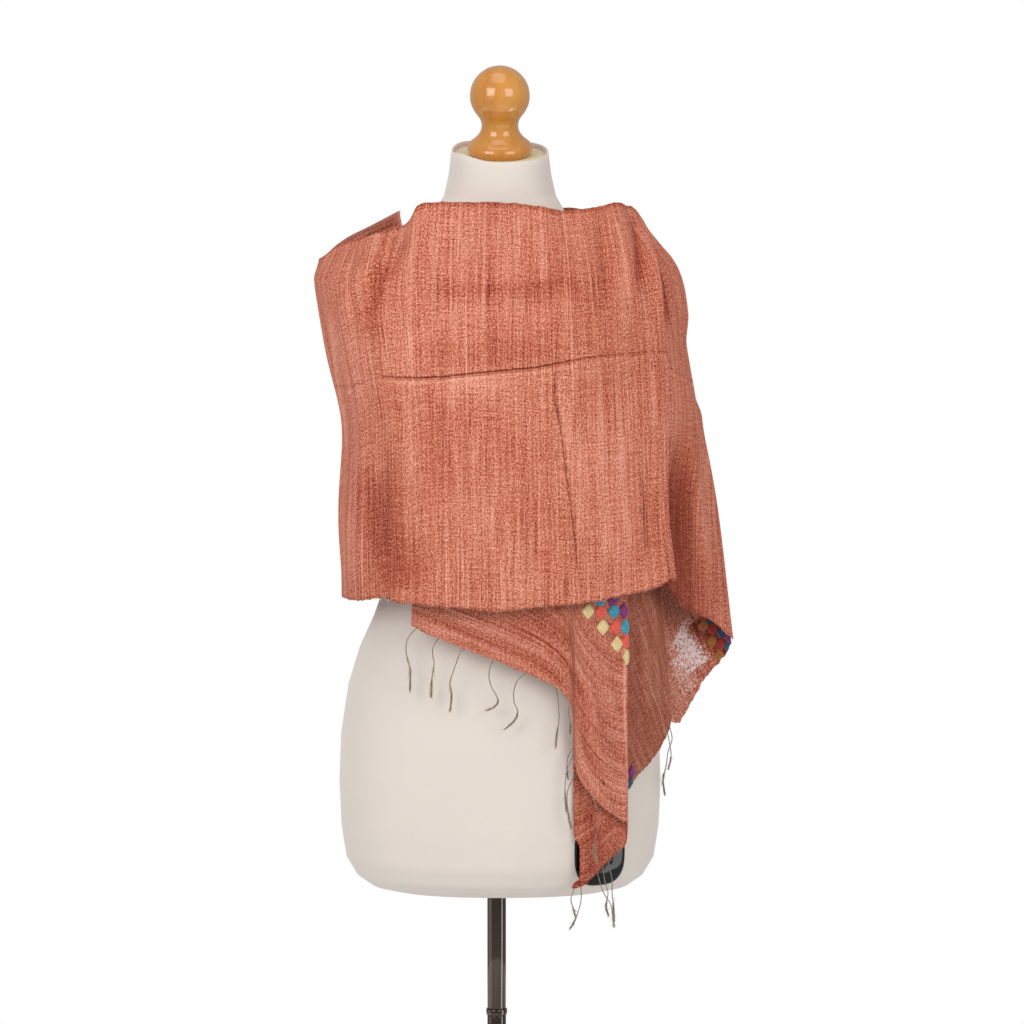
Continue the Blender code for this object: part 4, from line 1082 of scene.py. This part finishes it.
def build_wrap(band):
    grid, shades, lean = wound_grid()
    cloth = Cloth(grid, closed=True)
    seen = cloth.seen_path(ACROSS_SEEN)
    hidden = smooth_path([ring_point(*place) for place in ACROSS_HIDDEN], 40)
    strengths = np.interp(np.linspace(0, 1, 65), np.linspace(0, 1, len(ACROSS_STRENGTH)), ACROSS_STRENGTH)
    cloth.crease("across", np.concatenate([seen, hidden, seen[:1]]), strengths)
    cloth.crease("upright", cloth.seen_path(UPRIGHT_SEEN), UPRIGHT_STRENGTH, sideways=True)
    # Painted shade beside the pleat.
    cloth.fields["tone"] += shades
    cloth.folds(SEEN_FOLDS)
    cloth.folds(HIDDEN_FOLDS, lambda places: smooth_path([ring_point(*place) for place in places]))
    lap_over_band(cloth, band)
    # Cut edges: the top selvedge rolls a little and rises unevenly, and the hem runs unevenly.
    rolled = len(SELVEDGE_ROLL)
    cloth.grid[:, :rolled] += cloth.normals[:, :rolled] * np.array(SELVEDGE_ROLL)[None, :, None]
    cloth.fields["tone"][:, :2] -= 0.5
    cloth.rag_hem(HEM_RAG, 3)
    cloth.grid[:, 0, 2] += ragged(len(grid), HEM_RAG * 0.5, 4)
    cloth.fields["tone"][:, -1] -= 0.3
    wrap = cloth.make("stole_wound", SILK, lean=lean)
    finish_piece(wrap, ["scarf_front", "scarf_flap", "scarf_back"])
    return cloth, wrap


def surface(rows, across, down):
    rows = np.asarray(rows, float)
    wide = curve_weights(len(rows), even_places(rows, across))
    tall = curve_weights(rows.shape[1], np.linspace(0, rows.shape[1] - 1, down))
    return np.einsum("ai,bj,ijk->abk", wide, tall, rows)


def hanging(rows, top):
    """Rows of a hanging end as five evenly spread points from the top to the end."""
    return np.array([np.linspace((top_x, top_y, top), (end_x, end_y, end_z), 5)
                     for top_x, top_y, end_x, end_y, end_z in rows])


# Folds of the shoulder band; as on the wound cloth, the tone is painted shade and highlight.
BAND_FOLDS = (
    (1.7, -0.6, -0.9, ((400, 215.5), (380, 225), (360, 234), (343, 245))),
    (2.0, -0.8, -0.9, ((401, 221), (382, 229), (364, 237), (347, 247))),
    (2.6, 0.9, 0.35, ((401, 218), (382, 226.5), (362, 235.5), (345, 246))),
    (9.0, 0.0, -0.4, ((400, 219), (380, 228), (350, 243))),
)


def build_band():
    cloth = Cloth(surface(BAND_ROWS, 70, 60))
    cloth.folds(BAND_FOLDS)
    cloth.fields["tone"][:2] += 0.8
    band = cloth.make("stole_shoulder_band", SILK_BAND, swap=True)
    finish_piece(band, ["scarf_shoulder_band"])
    return cloth


# Folds of the inner end, as those of the wound cloth, with painted shade and highlight; the
# narrow pale line down its right fold is a painted highlight.
TAIL_FOLDS = (
    (3.5, 1.4, 0.30, ((416, 622), (450, 634), (500, 654), (545, 680), (566, 704))),
    (3.0, -1.0, -0.35, ((418, 616), (455, 627), (505, 646), (548, 670), (570, 698))),
    (4.0, 1.4, 0.20, ((430, 612), (470, 624), (515, 642), (552, 662), (574, 690))),
    (3.5, -1.0, -0.30, ((470, 618), (520, 636), (556, 656), (580, 688), (588, 720))),
    (5.0, 1.6, 0.18, ((520, 624), (556, 644), (580, 668), (594, 706), (600, 745))),
    (3.0, 1.3, 0.25, ((577, 706), (578, 735), (582, 760), (594, 785), (612, 808))),
    (2.6, -1.0, -0.35, ((581, 704), (584, 735), (589, 757), (602, 780), (620, 800))),
    (4.0, 1.2, 0.18, ((588, 700), (592, 730), (599, 752), (612, 772), (623, 786))),
    (3.0, -0.8, -0.22, ((596, 690), (601, 722), (609, 742), (622, 760))),
    (5.0, 1.4, 0.15, ((606, 668), (611, 700), (618, 724), (625, 738))),
    (10.0, -1.4, -0.30, ((500, 616), (530, 624), (560, 634), (578, 650))),
    (1.2, 0.4, 1.3, ((629, 604), (628.5, 660), (628, 720), (627.5, 780), (626, 812))),
    (9.0, 0.0, -0.30, ((584, 800), (590, 830), (594, 862), (590, 884))),
    (3.0, -0.8, -0.25, ((586, 790), (590, 818), (600, 842), (608, 862))),
)
# Folds of the outer end's side and corner, with painted shade and highlight as on the wound cloth.
SIDE_FOLDS = (
    (6.0, 1.6, 0.12, ((640, 600), (646, 650), (655, 700), (664, 730))),
    (4.0, -1.4, -0.20, ((634, 610), (638, 665), (645, 720), (652, 755))),
    (4.0, 1.4, 0.30, ((661, 590), (666, 630), (669, 678), (672, 715))),
    (3.0, -1.0, -0.15, ((652, 600), (658, 650), (663, 690), (668, 722))),
)
CORNER_FOLDS = (
    (4.0, 1.4, 0.10, ((674, 640), (684, 668), (694, 692))),
    (3.5, -1.2, -0.20, ((682, 632), (692, 655), (702, 680))),
    (4.5, 1.2, 0.10, ((692, 628), (702, 646), (712, 664))),
)
# Where the reverse's pale threads show, and where the flap's shadow is painted: paths in the
# frame's pixels, with a half width in mm.
PALE_PATH, PALE_WIDE = ((677, 632), (686, 640), (696, 652), (704, 664)), 19
PALE_LOW, PALE_LOW_WIDE = ((674, 656), (683, 676), (691, 692)), 15
FLAP_SHADOW_PATH, FLAP_SHADOW_WIDE = ((700, 616), (712, 632), (722, 646), (732, 640)), 15

TURNED_BACK = 0.70      # where along the inner end its turned back part begins
# The tip narrows and flares: half width, shift to the right and up in mm, and a path.
TIP_NUDGES = (
    (13.0, (6.0, 0.0), ((576, 835), (576, 856), (577, 874), (578, 882))),
    (7.0, (-6.0, -2.0), ((573, 887), (576, 888), (580, 888))),
)


def build_inner_end():
    front, back = hanging(TAIL_FRONT_ROWS, TAIL_TOP), hanging(TAIL_BACK_ROWS, TAIL_BACK_TOP)
    cloth = Cloth(surface(np.concatenate([front, back]), 200, 110))
    cloth.folds(TAIL_FOLDS)
    turned_back = int(len(cloth.grid) * TURNED_BACK)
    # The turned back part is painted in shade.
    cloth.fields["tone"][turned_back:] -= 0.35
    for half_width, (right, up), places in TIP_NUDGES:
        near = near_path(cloth.base, cloth.seen_path(places), half_width)
        cloth.grid = cloth.grid + near[..., None] * np.array([right, 0, up])
    cloth.rag_hem(HEM_RAG * 0.6, 7)
    piece = cloth.make("stole_inner_end", SILK_TAIL, swap=True, from_end=True)
    finish_piece(piece, ["scarf_tail_front", "scarf_tail_back"])
    return cloth, piece


def build_outer_end():
    side = Cloth(surface(hanging(SIDE_ROWS, SIDE_TOP), 80, 90))
    side.folds(SIDE_FOLDS)
    corner = Cloth(surface(hanging(CORNER_ROWS, CORNER_TOP), 100, 80))
    corner.folds(CORNER_FOLDS)

    def near(places, half_width, taper):
        return near_path(corner.base, corner.seen_path(places), half_width, taper)

    pale = near(PALE_PATH, PALE_WIDE, 0.03) * 3.2 + near(PALE_LOW, PALE_LOW_WIDE, 0.05) * 1.4
    # The flap's painted shadow darkens the corner and hides its pale threads.
    dark = np.minimum(near(FLAP_SHADOW_PATH, FLAP_SHADOW_WIDE, 0.02) * 1.6, 1.0)
    corner.fields["floats"] = pale - 1.3 - dark * 3.5
    corner.fields["tone"] -= dark * 1.35
    side.rag_hem(HEM_RAG, 31)
    corner.rag_hem(HEM_RAG, 32)
    pieces = []
    for cloth, name, material, node, slot in (
            (side, "stole_outer_end_side", SILK_SIDE, "scarf_side", "silk"),
            (corner, "stole_outer_end_corner", SILK_REVERSE, "scarf_corner", "silk_reverse")):
        piece = cloth.make(name, material, turn=-24.0)
        finish_piece(piece, [node])
        pieces.append(piece)
    return side, corner, pieces


# Satin-stitched squares: diagonals, lift off the cloth and puff in mm, then colour and the
# places of their middles in the frame's pixels.
SQUARE_WIDE, SQUARE_TALL = 15.6, 19.0       # a square's diagonals, mm
SQUARE_LIFT, SQUARE_PUFF = 0.35, 1.2
TAIL_SQUARES = (
    ("cream", 588, 611), ("cream", 603, 627), ("cream", 617, 644), ("coral", 601, 611), ("coral", 616, 627),
    ("turquoise", 600, 600.5), ("turquoise", 614, 611), ("turquoise", 626, 627), ("purple", 613, 600),
    ("purple", 624, 611), ("coral", 626.5, 641.5), ("cream", 626.8, 657),
)
# The corner's and the side's squares lie in shade and take the colours with painted shade.
CORNER_SQUARES = (
    ("ochre", 703, 625), ("ochre", 712, 641), ("ochre", 719, 655), ("dark_red", 713, 628), ("dark_red", 721, 644),
    ("dark_red", 704, 615), ("navy", 721.5, 632), ("navy", 728, 646), ("navy", 711, 620), ("purple", 729, 637),
)
SIDE_SQUARES = (("purple", 632, 772), ("navy", 630, 784))


def build_squares(name, cloth, squares, wide, tall):
    """Puffed satin squares laid on the cloth, one joined piece for each colour."""
    count = 9
    steps = np.linspace(-1, 1, count)
    made = []
    tree = grid_tree(cloth.grid)
    for colour in sorted({square[0] for square in squares}):
        points, faces, uvs = [], [], []
        for k, (_, px, py) in enumerate(square for square in squares if square[0] == colour):
            place, face = cloth.seen(px, py)
            right = (Vector((1, 0, 0)) - face * face.x).normalized()
            lower = facing(face.cross(right), Vector((0, 0, -1)))
            first = len(points)
            for a in steps:
                for b in steps:
                    # Corners draw in a little, as pulled stitches do.
                    pull = (1 - 0.10 * (a * a * b * b)) / 4
                    spot = place + right * ((a + b) * wide * pull) + lower * ((a - b) * tall * pull)
                    near, normal, _, _ = tree.find_nearest(spot)
                    puff = SQUARE_PUFF * ((1 - a**4) * (1 - b**4)) ** 0.6
                    points.append(near + facing(normal, face) * (SQUARE_LIFT + puff))
            for i in range(count - 1):
                for j in range(count - 1):
                    corners = [(i, j), (i, j + 1), (i + 1, j + 1), (i + 1, j)]
                    faces.append([first + c * count + d for c, d in corners])
                    uvs += [(steps[c] * 5 + k * 31, steps[d] * 5 + k * 17) for c, d in corners]
        piece = add_mesh(f"{name}_{colour}", points, faces, SATIN[colour], uvs)
        solid = piece.modifiers.new("body", "SOLIDIFY")
        solid.thickness, solid.offset = 0.0003, -1
        made.append(finish_piece(piece, []))
    return made


# Fringe threads: the piece whose edge each hangs from, and its path in the frame's pixels.
THREADS = (
    ("inner", ((416.5, 628), (411, 634), (407, 641), (406, 650), (407.5, 660), (410, 670), (410, 692))),
    ("inner", ((439, 641), (434, 645), (432.5, 654), (434, 664), (432, 678), (431, 698))),
    ("inner", ((465, 648), (460, 653), (456, 664), (451, 678), (450, 686), (451.5, 696), (450, 712))),
    ("inner", ((494, 659), (490, 667), (489, 676), (491, 686), (496, 695), (498, 702), (493, 708), (485, 711))),
    ("inner", ((526, 673), (518, 680), (514, 690), (514, 702), (517.5, 710), (516, 718), (510, 725), (504, 730))),
    ("inner", ((556, 688), (558, 700), (559, 718), (557, 733), (555.5, 749))),
    ("inner", ((569, 702), (568.5, 714), (570.5, 724), (570, 735))),
    ("inner", ((572, 747), (568, 757), (567, 767), (568, 780))),
    ("inner", ((576, 774), (570, 784), (567, 797), (568, 812), (571, 829))),
    ("inner", ((573, 752), (567, 770), (565, 790), (566.5, 813))),
    ("inner", ((590, 797), (596, 806), (599, 818), (596, 838), (594.5, 850), (597.5, 865))),
    ("tip", ((574, 889), (571, 899), (573, 908), (576, 918))),
    ("tip", ((581.5, 888), (581, 900), (578, 912), (574, 922), (569.5, 930))),
    ("tip", ((600, 876), (602, 889), (606, 897), (611, 905), (613, 916), (614, 928))),
    ("tip", ((611, 864), (612, 880), (612, 892), (613.5, 906), (614, 922))),
    ("tip", ((606, 870), (605, 882), (608, 893), (606, 906), (609, 917))),
    ("side", ((671, 727), (672, 739), (668, 752), (666, 766), (663, 780), (665, 796))),
    ("side", ((668, 733), (670, 746), (671, 757), (668, 770))),
)
THREAD_RADIUS = 0.62    # of the whole twisted thread, mm
PLIES = 2
PLY_PITCH = 4.5         # mm for each turn of the twist
LOOSE_FROM, LOOSE_OVER = 0.62, 0.12         # where on its length a thread comes undone
HAIRS = 34              # fine hairs that stand off each thread's loose part
HAIR_FROM, HAIR_LENGTH = (0.60, 0.94), (0.06, 0.2)      # in shares of the thread's length
HAIR_RADII = (0.26, 0.09)
# The piece and node of each edge's threads, and the stretch of its cloth's lower edge.
FRINGES = {
    "inner": ("stole_fringe_inner", "fringe_tail", 0.0, 0.74), "tip": ("stole_fringe_tip", "fringe_tip", 0.7, 1.0),
    "side": ("stole_fringe_side", "fringe_side", 0.0, 1.0),
}
SKIN_GAP = 1.6          # how far a thread's middle stays off the form, mm


def tube(points, radii, sides=5):
    """Points and faces of a tube along a path, closed at both ends."""
    points = np.asarray(points, float)
    runs = unit(np.gradient(points, axis=0))
    side = unit(np.cross(runs, (0.12, 1.0, 0.08)))
    other = np.cross(runs, side)
    turns = np.linspace(0, 2 * math.pi, sides, endpoint=False)[None, :, None]
    ring = side[:, None] * np.cos(turns) + other[:, None] * np.sin(turns)
    verts = (points[:, None] + ring * np.asarray(radii, float)[:, None, None]).reshape(-1, 3)
    faces = []
    for i in range(len(points) - 1):
        for k in range(sides):
            after = (k + 1) % sides
            faces.append((i * sides + k, i * sides + after, (i + 1) * sides + after,
                          (i + 1) * sides + k))
    last = (len(points) - 1) * sides
    faces += [tuple(range(sides - 1, -1, -1)), tuple(range(last, last + sides))]
    return verts, faces


class Bundle:
    """Tubes gathered into one piece."""

    def __init__(self):
        self.points, self.faces = [], []

    def add(self, path, radii, sides=5):
        verts, faces = tube(path, radii, sides)
        first = sum(len(points) for points in self.points)
        self.points.append(verts)
        self.faces += [tuple(first + index for index in face) for face in faces]

    def make(self, name, material, nodes, slot):
        obj = add_mesh(name, np.concatenate(self.points), self.faces, material)
        return finish_piece(obj, nodes)


def hanging_path(root, places, trunk_tree):
    """A smooth path from a root through places in the frame, hanging in front of the trunk."""
    points = [Vector(root)]
    for px, py in places[1:]:
        eye, line = sight(px, py)
        spot = eye + line * ((root[1] - 1.0 - eye.y) / line.y)
        meets = trunk_tree.ray_cast(eye, line)[0]
        if meets is not None and meets.y - SKIN_GAP < spot.y:
            spot = eye + line * ((meets.y - SKIN_GAP - eye.y) / line.y)
        points.append(spot)
    return smooth_path([tuple(point) for point in points], 16 * (len(points) - 1))


def build_fringe(inner, side, trunk_tree):
    """Twisted threads, each with a loose, hairy end."""
    chance = random.Random(11)
    for owner, (name, node, first, last) in FRINGES.items():
        cloth = side if owner == "side" else inner
        bundle, hairs = Bundle(), Bundle()
        for places in (path for edge, path in THREADS if edge == owner):
            columns = len(cloth.grid)
            root = cloth.edge_nearest(*places[0], int(columns * first), int(columns * last))
            path = hanging_path(root, places, trunk_tree)
            run = run_along(path)
            share = run / run[-1]
            loose = smoothstep((share - LOOSE_FROM) / LOOSE_OVER)
            for ply in range(PLIES):
                phase = run / PLY_PITCH * 2 * math.pi + ply * 2 * math.pi / PLIES
                out = THREAD_RADIUS * 0.5 * (1 + loose * 0.9)
                twist = np.stack([np.cos(phase) * out, np.sin(phase) * out, np.zeros_like(phase)], 1)
                tip = 1 - 0.6 * smoothstep((share - 0.93) / 0.07)
                bundle.add(path + twist, THREAD_RADIUS * (0.55 + 0.45 * loose) * tip)
            for _ in range(HAIRS):
                start = int(len(path) * chance.uniform(*HAIR_FROM))
                length = int(len(path) * chance.uniform(*HAIR_LENGTH))
                piece = path[start:start + length]
                if len(piece) < 4:
                    continue
                away = np.linspace(0.2, 1, len(piece))[:, None] ** 1.5
                stray = np.array([chance.gauss(0, 1.7), chance.gauss(-0.2, 0.4), chance.gauss(0, 0.8)])
                hairs.add(piece + away * stray, np.linspace(*HAIR_RADII, len(piece)), sides=3)
        bundle.make(name, THREAD, [node], "fringe_thread")
        hairs.make(name + "_hairs", LOOSE_THREAD, [], "fringe_thread")


# Frayed edges: the piece of cloth, its edge and the share of it, how many thread ends, their
# length and radius in mm, and a seed.
FRAYS = (
    ("wound", "low", (0.0, 1.0), 420, 1.9, 0.11, 21), ("wound", "high", (0.0, 1.0), 90, 1.0, 0.09, 22),
    ("band", "first", (0.05, 0.9), 46, 3.4, 0.11, 23), ("inner", "low", (0.0, 1.0), 150, 2.2, 0.11, 24),
    ("side", "low", (0.3, 1.0), 70, 2.4, 0.11, 25), ("corner", "low", (0.0, 1.0), 60, 1.8, 0.11, 26),
)
WORN = (374, 390)       # a worn patch at the left of the front hem, in the frame's pixels
INNER_SLUB = (603, 781)
# Dark slubs: both ends in the frame's pixels, and the radius in mm.
SLUBS = (
    ((707, 521.5), (705.5, 527), 0.75), ((566.5, 541.5), (566, 545), 0.6),
    (INNER_SLUB, (604, 785.5), 0.7), ((569, 334), (569, 338), 0.5), ((554.6, 378), (554.8, 390), 0.55),
    ((557.6, 407), (558.6, 414), 0.4), ((566, 462), (567, 471), 0.35), ((437, 306), (437.4, 311), 0.4),
    ((486, 298), (486, 302), 0.35), ((640, 508), (640, 514), 0.4),
)


def fray(bundle, cloth, edge, share, count, length, radius, seed):
    """Short thread ends that stand out of a share of a cut edge."""
    chance = random.Random(seed)
    grid = cloth.grid
    edges = {"low": (grid[:, -1], grid[:, -2]), "high": (grid[:, 0], grid[:, 1]), "first": (grid[0], grid[1])}
    line, inside = edges[edge]
    for _ in range(count):
        k = min(int(chance.uniform(*share) * len(line)), len(line) - 2)
        root = line[k] + (line[k + 1] - line[k]) * chance.random()
        out, run = unit(line[k] - inside[k]), unit(line[k + 1] - line[k])
        reach = length * chance.uniform(0.3, 1.0)
        bend = run * chance.gauss(0, 0.45) * reach
        drop = np.array([0, chance.gauss(0, 0.15) * reach, 0])
        steps = np.linspace(0, 1, 5)[:, None]
        path = root - out * 1.0 + out * steps * (reach + 1.0) + (bend + drop) * steps ** 2
        bundle.add(path, np.linspace(radius, radius * 0.5, 5), sides=3)


def build_frays(wound, band, inner, side, corner):
    cloths = {"wound": wound, "band": band, "inner": inner, "side": side, "corner": corner}
    pale, dark = Bundle(), Bundle()
    for name, *rest in FRAYS:
        fray(pale, cloths[name], *rest)
    across = np.array([frame_place(point)[0] for point in wound.grid[:, -1]])
    worn = np.flatnonzero((across > WORN[0]) & (across < WORN[1]) & (wound.grid[:, -1, 1] < 0))
    fray(pale, wound, "low", (worn.min() / len(across), worn.max() / len(across)), 40, 5.0, 0.11, 27)
    pale.make("stole_thread_ends", THREAD_END, [], "silk")
    for *ends, radius in SLUBS:
        cloth = inner if INNER_SLUB in ends else wound
        start, end = (np.array(place + face * 0.35) for place, face in (cloth.seen(*spot) for spot in ends))
        path = start + (end - start) * np.linspace(0, 1, 7)[:, None]
        dark.add(path, radius * np.sin(np.linspace(0.25, math.pi - 0.25, 7)))
    dark.make("stole_dark_slubs", SLUB, [], "silk")


# ---------------------------------------------------------------------------------------
# Stage, lights and camera
ROOM_LIGHT = 0.42
FLOOR_RADIUS, FLOOR_SIDES = 2000.0, 96
FLOOR_FADE = (0.7, 1.9)     # where the floor turns to plain white, in m from the middle
LIGHT_AIM = Vector((0, 0, 1.1))
# Softboxes: name, turn from the front and rise in degrees, distance, width and height in m, watts.
SOFTBOXES = (
    ("key", -36.0, 18.0, 2.6, 1.35, 1.35, 27.0),
    ("fill", 36.0, 16.0, 2.6, 1.35, 1.35, 20.0),
    ("top", -10.0, 72.0, 2.2, 1.4, 1.4, 9.0),
    ("back_left", -145.0, 22.0, 2.8, 1.3, 1.5, 20.0),
    ("back_right", 145.0, 22.0, 2.8, 1.3, 1.5, 14.0),
)
# Strips that only shine in reflections: name, turn, distance, width, height and middle in m, watts.
STRIPS = (
    ("strip_right", 70.0, 0.7, 0.14, 0.80, 0.42, 2.0),
    ("strip_left", -88.0, 0.7, 0.60, 0.80, 0.42, 1.1),
)


def build_stage():
    scene = bpy.context.scene
    scene.view_settings.view_transform = "Standard"
    turns = np.linspace(0, 2 * math.pi, FLOOR_SIDES, endpoint=False)
    points = [(0, 0, 0)] + [(FLOOR_RADIUS * math.cos(a), FLOOR_RADIUS * math.sin(a), 0) for a in turns]
    faces = [(0, 1 + k, 1 + (k + 1) % FLOOR_SIDES) for k in range(FLOOR_SIDES)]
    f = Finish("floor", Roughness=0.9, Base_Color=(0.9, 0.9, 0.9, 1.0), Specular_IOR_Level=0.1)
    away = f.node("ShaderNodeVectorMath", {0: f.place()}, operation="LENGTH").outputs["Value"]
    share = f.span(away, *FLOOR_FADE, soft=True)
    glow = f.node("ShaderNodeEmission", {"Color": (1, 1, 1, 1), "Strength": 1.0}).outputs[0]
    mix = f.node("ShaderNodeMixShader", {0: share, 1: f.shader.outputs[0], 2: glow}).outputs[0]
    f.links.new(mix, f.nodes["Material Output"].inputs["Surface"])
    add_mesh("floor", points, faces, f.material)

    world = bpy.data.worlds.new("studio")
    scene.world = world
    world.use_nodes = True
    nodes, links = world.node_tree.nodes, world.node_tree.links
    room = nodes["Background"]
    room.inputs["Color"].default_value = (1.0, 0.99, 0.98, 1)
    room.inputs["Strength"].default_value = ROOM_LIGHT
    seen = nodes.new("ShaderNodeBackground")
    seen.inputs["Color"].default_value = (1, 1, 1, 1)
    seen.inputs["Strength"].default_value = 1.0
    path, mix = nodes.new("ShaderNodeLightPath"), nodes.new("ShaderNodeMixShader")
    links.new(path.outputs["Is Camera Ray"], mix.inputs[0])
    links.new(room.outputs[0], mix.inputs[1])
    links.new(seen.outputs[0], mix.inputs[2])
    links.new(mix.outputs[0], nodes["World Output"].inputs["Surface"])


def area_light(name, spot, direction, wide, tall, watts):
    """A rectangular light that shines back along a direction."""
    light = bpy.data.lights.new(name, "AREA")
    light.shape = "RECTANGLE"
    light.size, light.size_y, light.energy = wide, tall, watts
    obj = bpy.data.objects.new(name, light)
    bpy.context.scene.collection.objects.link(obj)
    obj.location = spot
    obj.rotation_euler = (-direction).to_track_quat("-Z", "Y").to_euler()
    return obj


def build_lights():
    for name, turn, rise, away, wide, tall, watts in SOFTBOXES:
        turn, rise = math.radians(turn), math.radians(rise)
        direction = Vector((math.sin(turn) * math.cos(rise), -math.cos(turn) * math.cos(rise),
                            math.sin(rise)))
        box = area_light(name, LIGHT_AIM + direction * away, direction, wide, tall, watts)
        box.visible_glossy = not name.startswith("back")
    for name, turn, away, wide, tall, middle, watts in STRIPS:
        direction = Vector((math.sin(math.radians(turn)), -math.cos(math.radians(turn)), 0))
        strip = area_light(name, direction * away + Vector((0, 0, middle)), direction, wide, tall, watts)
        strip.visible_diffuse = strip.visible_camera = False


def build_camera():
    camera = bpy.data.cameras.new("camera")
    camera.sensor_width = 36.0
    camera.lens = camera.sensor_width * CAMERA_AWAY / FRAME_WIDE
    obj = bpy.data.objects.new("camera", camera)
    obj.location = (Vector(CAMERA_TARGET) + CAMERA_BACK * CAMERA_AWAY) * MM
    obj.rotation_euler = (math.pi / 2 - CAMERA_RISE, 0, 0)
    bpy.context.scene.collection.objects.link(obj)
    bpy.context.scene.camera = obj


build_stage()
build_lights()
build_camera()
trunk_tree = build_form()
build_stand()
build_plate()
band = build_band()
wound, wound_piece = build_wrap(band)
inner, inner_piece = build_inner_end()
side, corner, (side_piece, corner_piece) = build_outer_end()
build_fringe(inner, side, trunk_tree)
build_frays(wound, band, inner, side, corner)
tail_squares = build_squares("embroidery_inner_end", inner, TAIL_SQUARES, SQUARE_WIDE, SQUARE_TALL)
corner_squares = build_squares("embroidery_corner", corner, CORNER_SQUARES, 14.0, 16.5)
side_squares = build_squares("embroidery_side", side, SIDE_SQUARES, 11.0, 17.0)
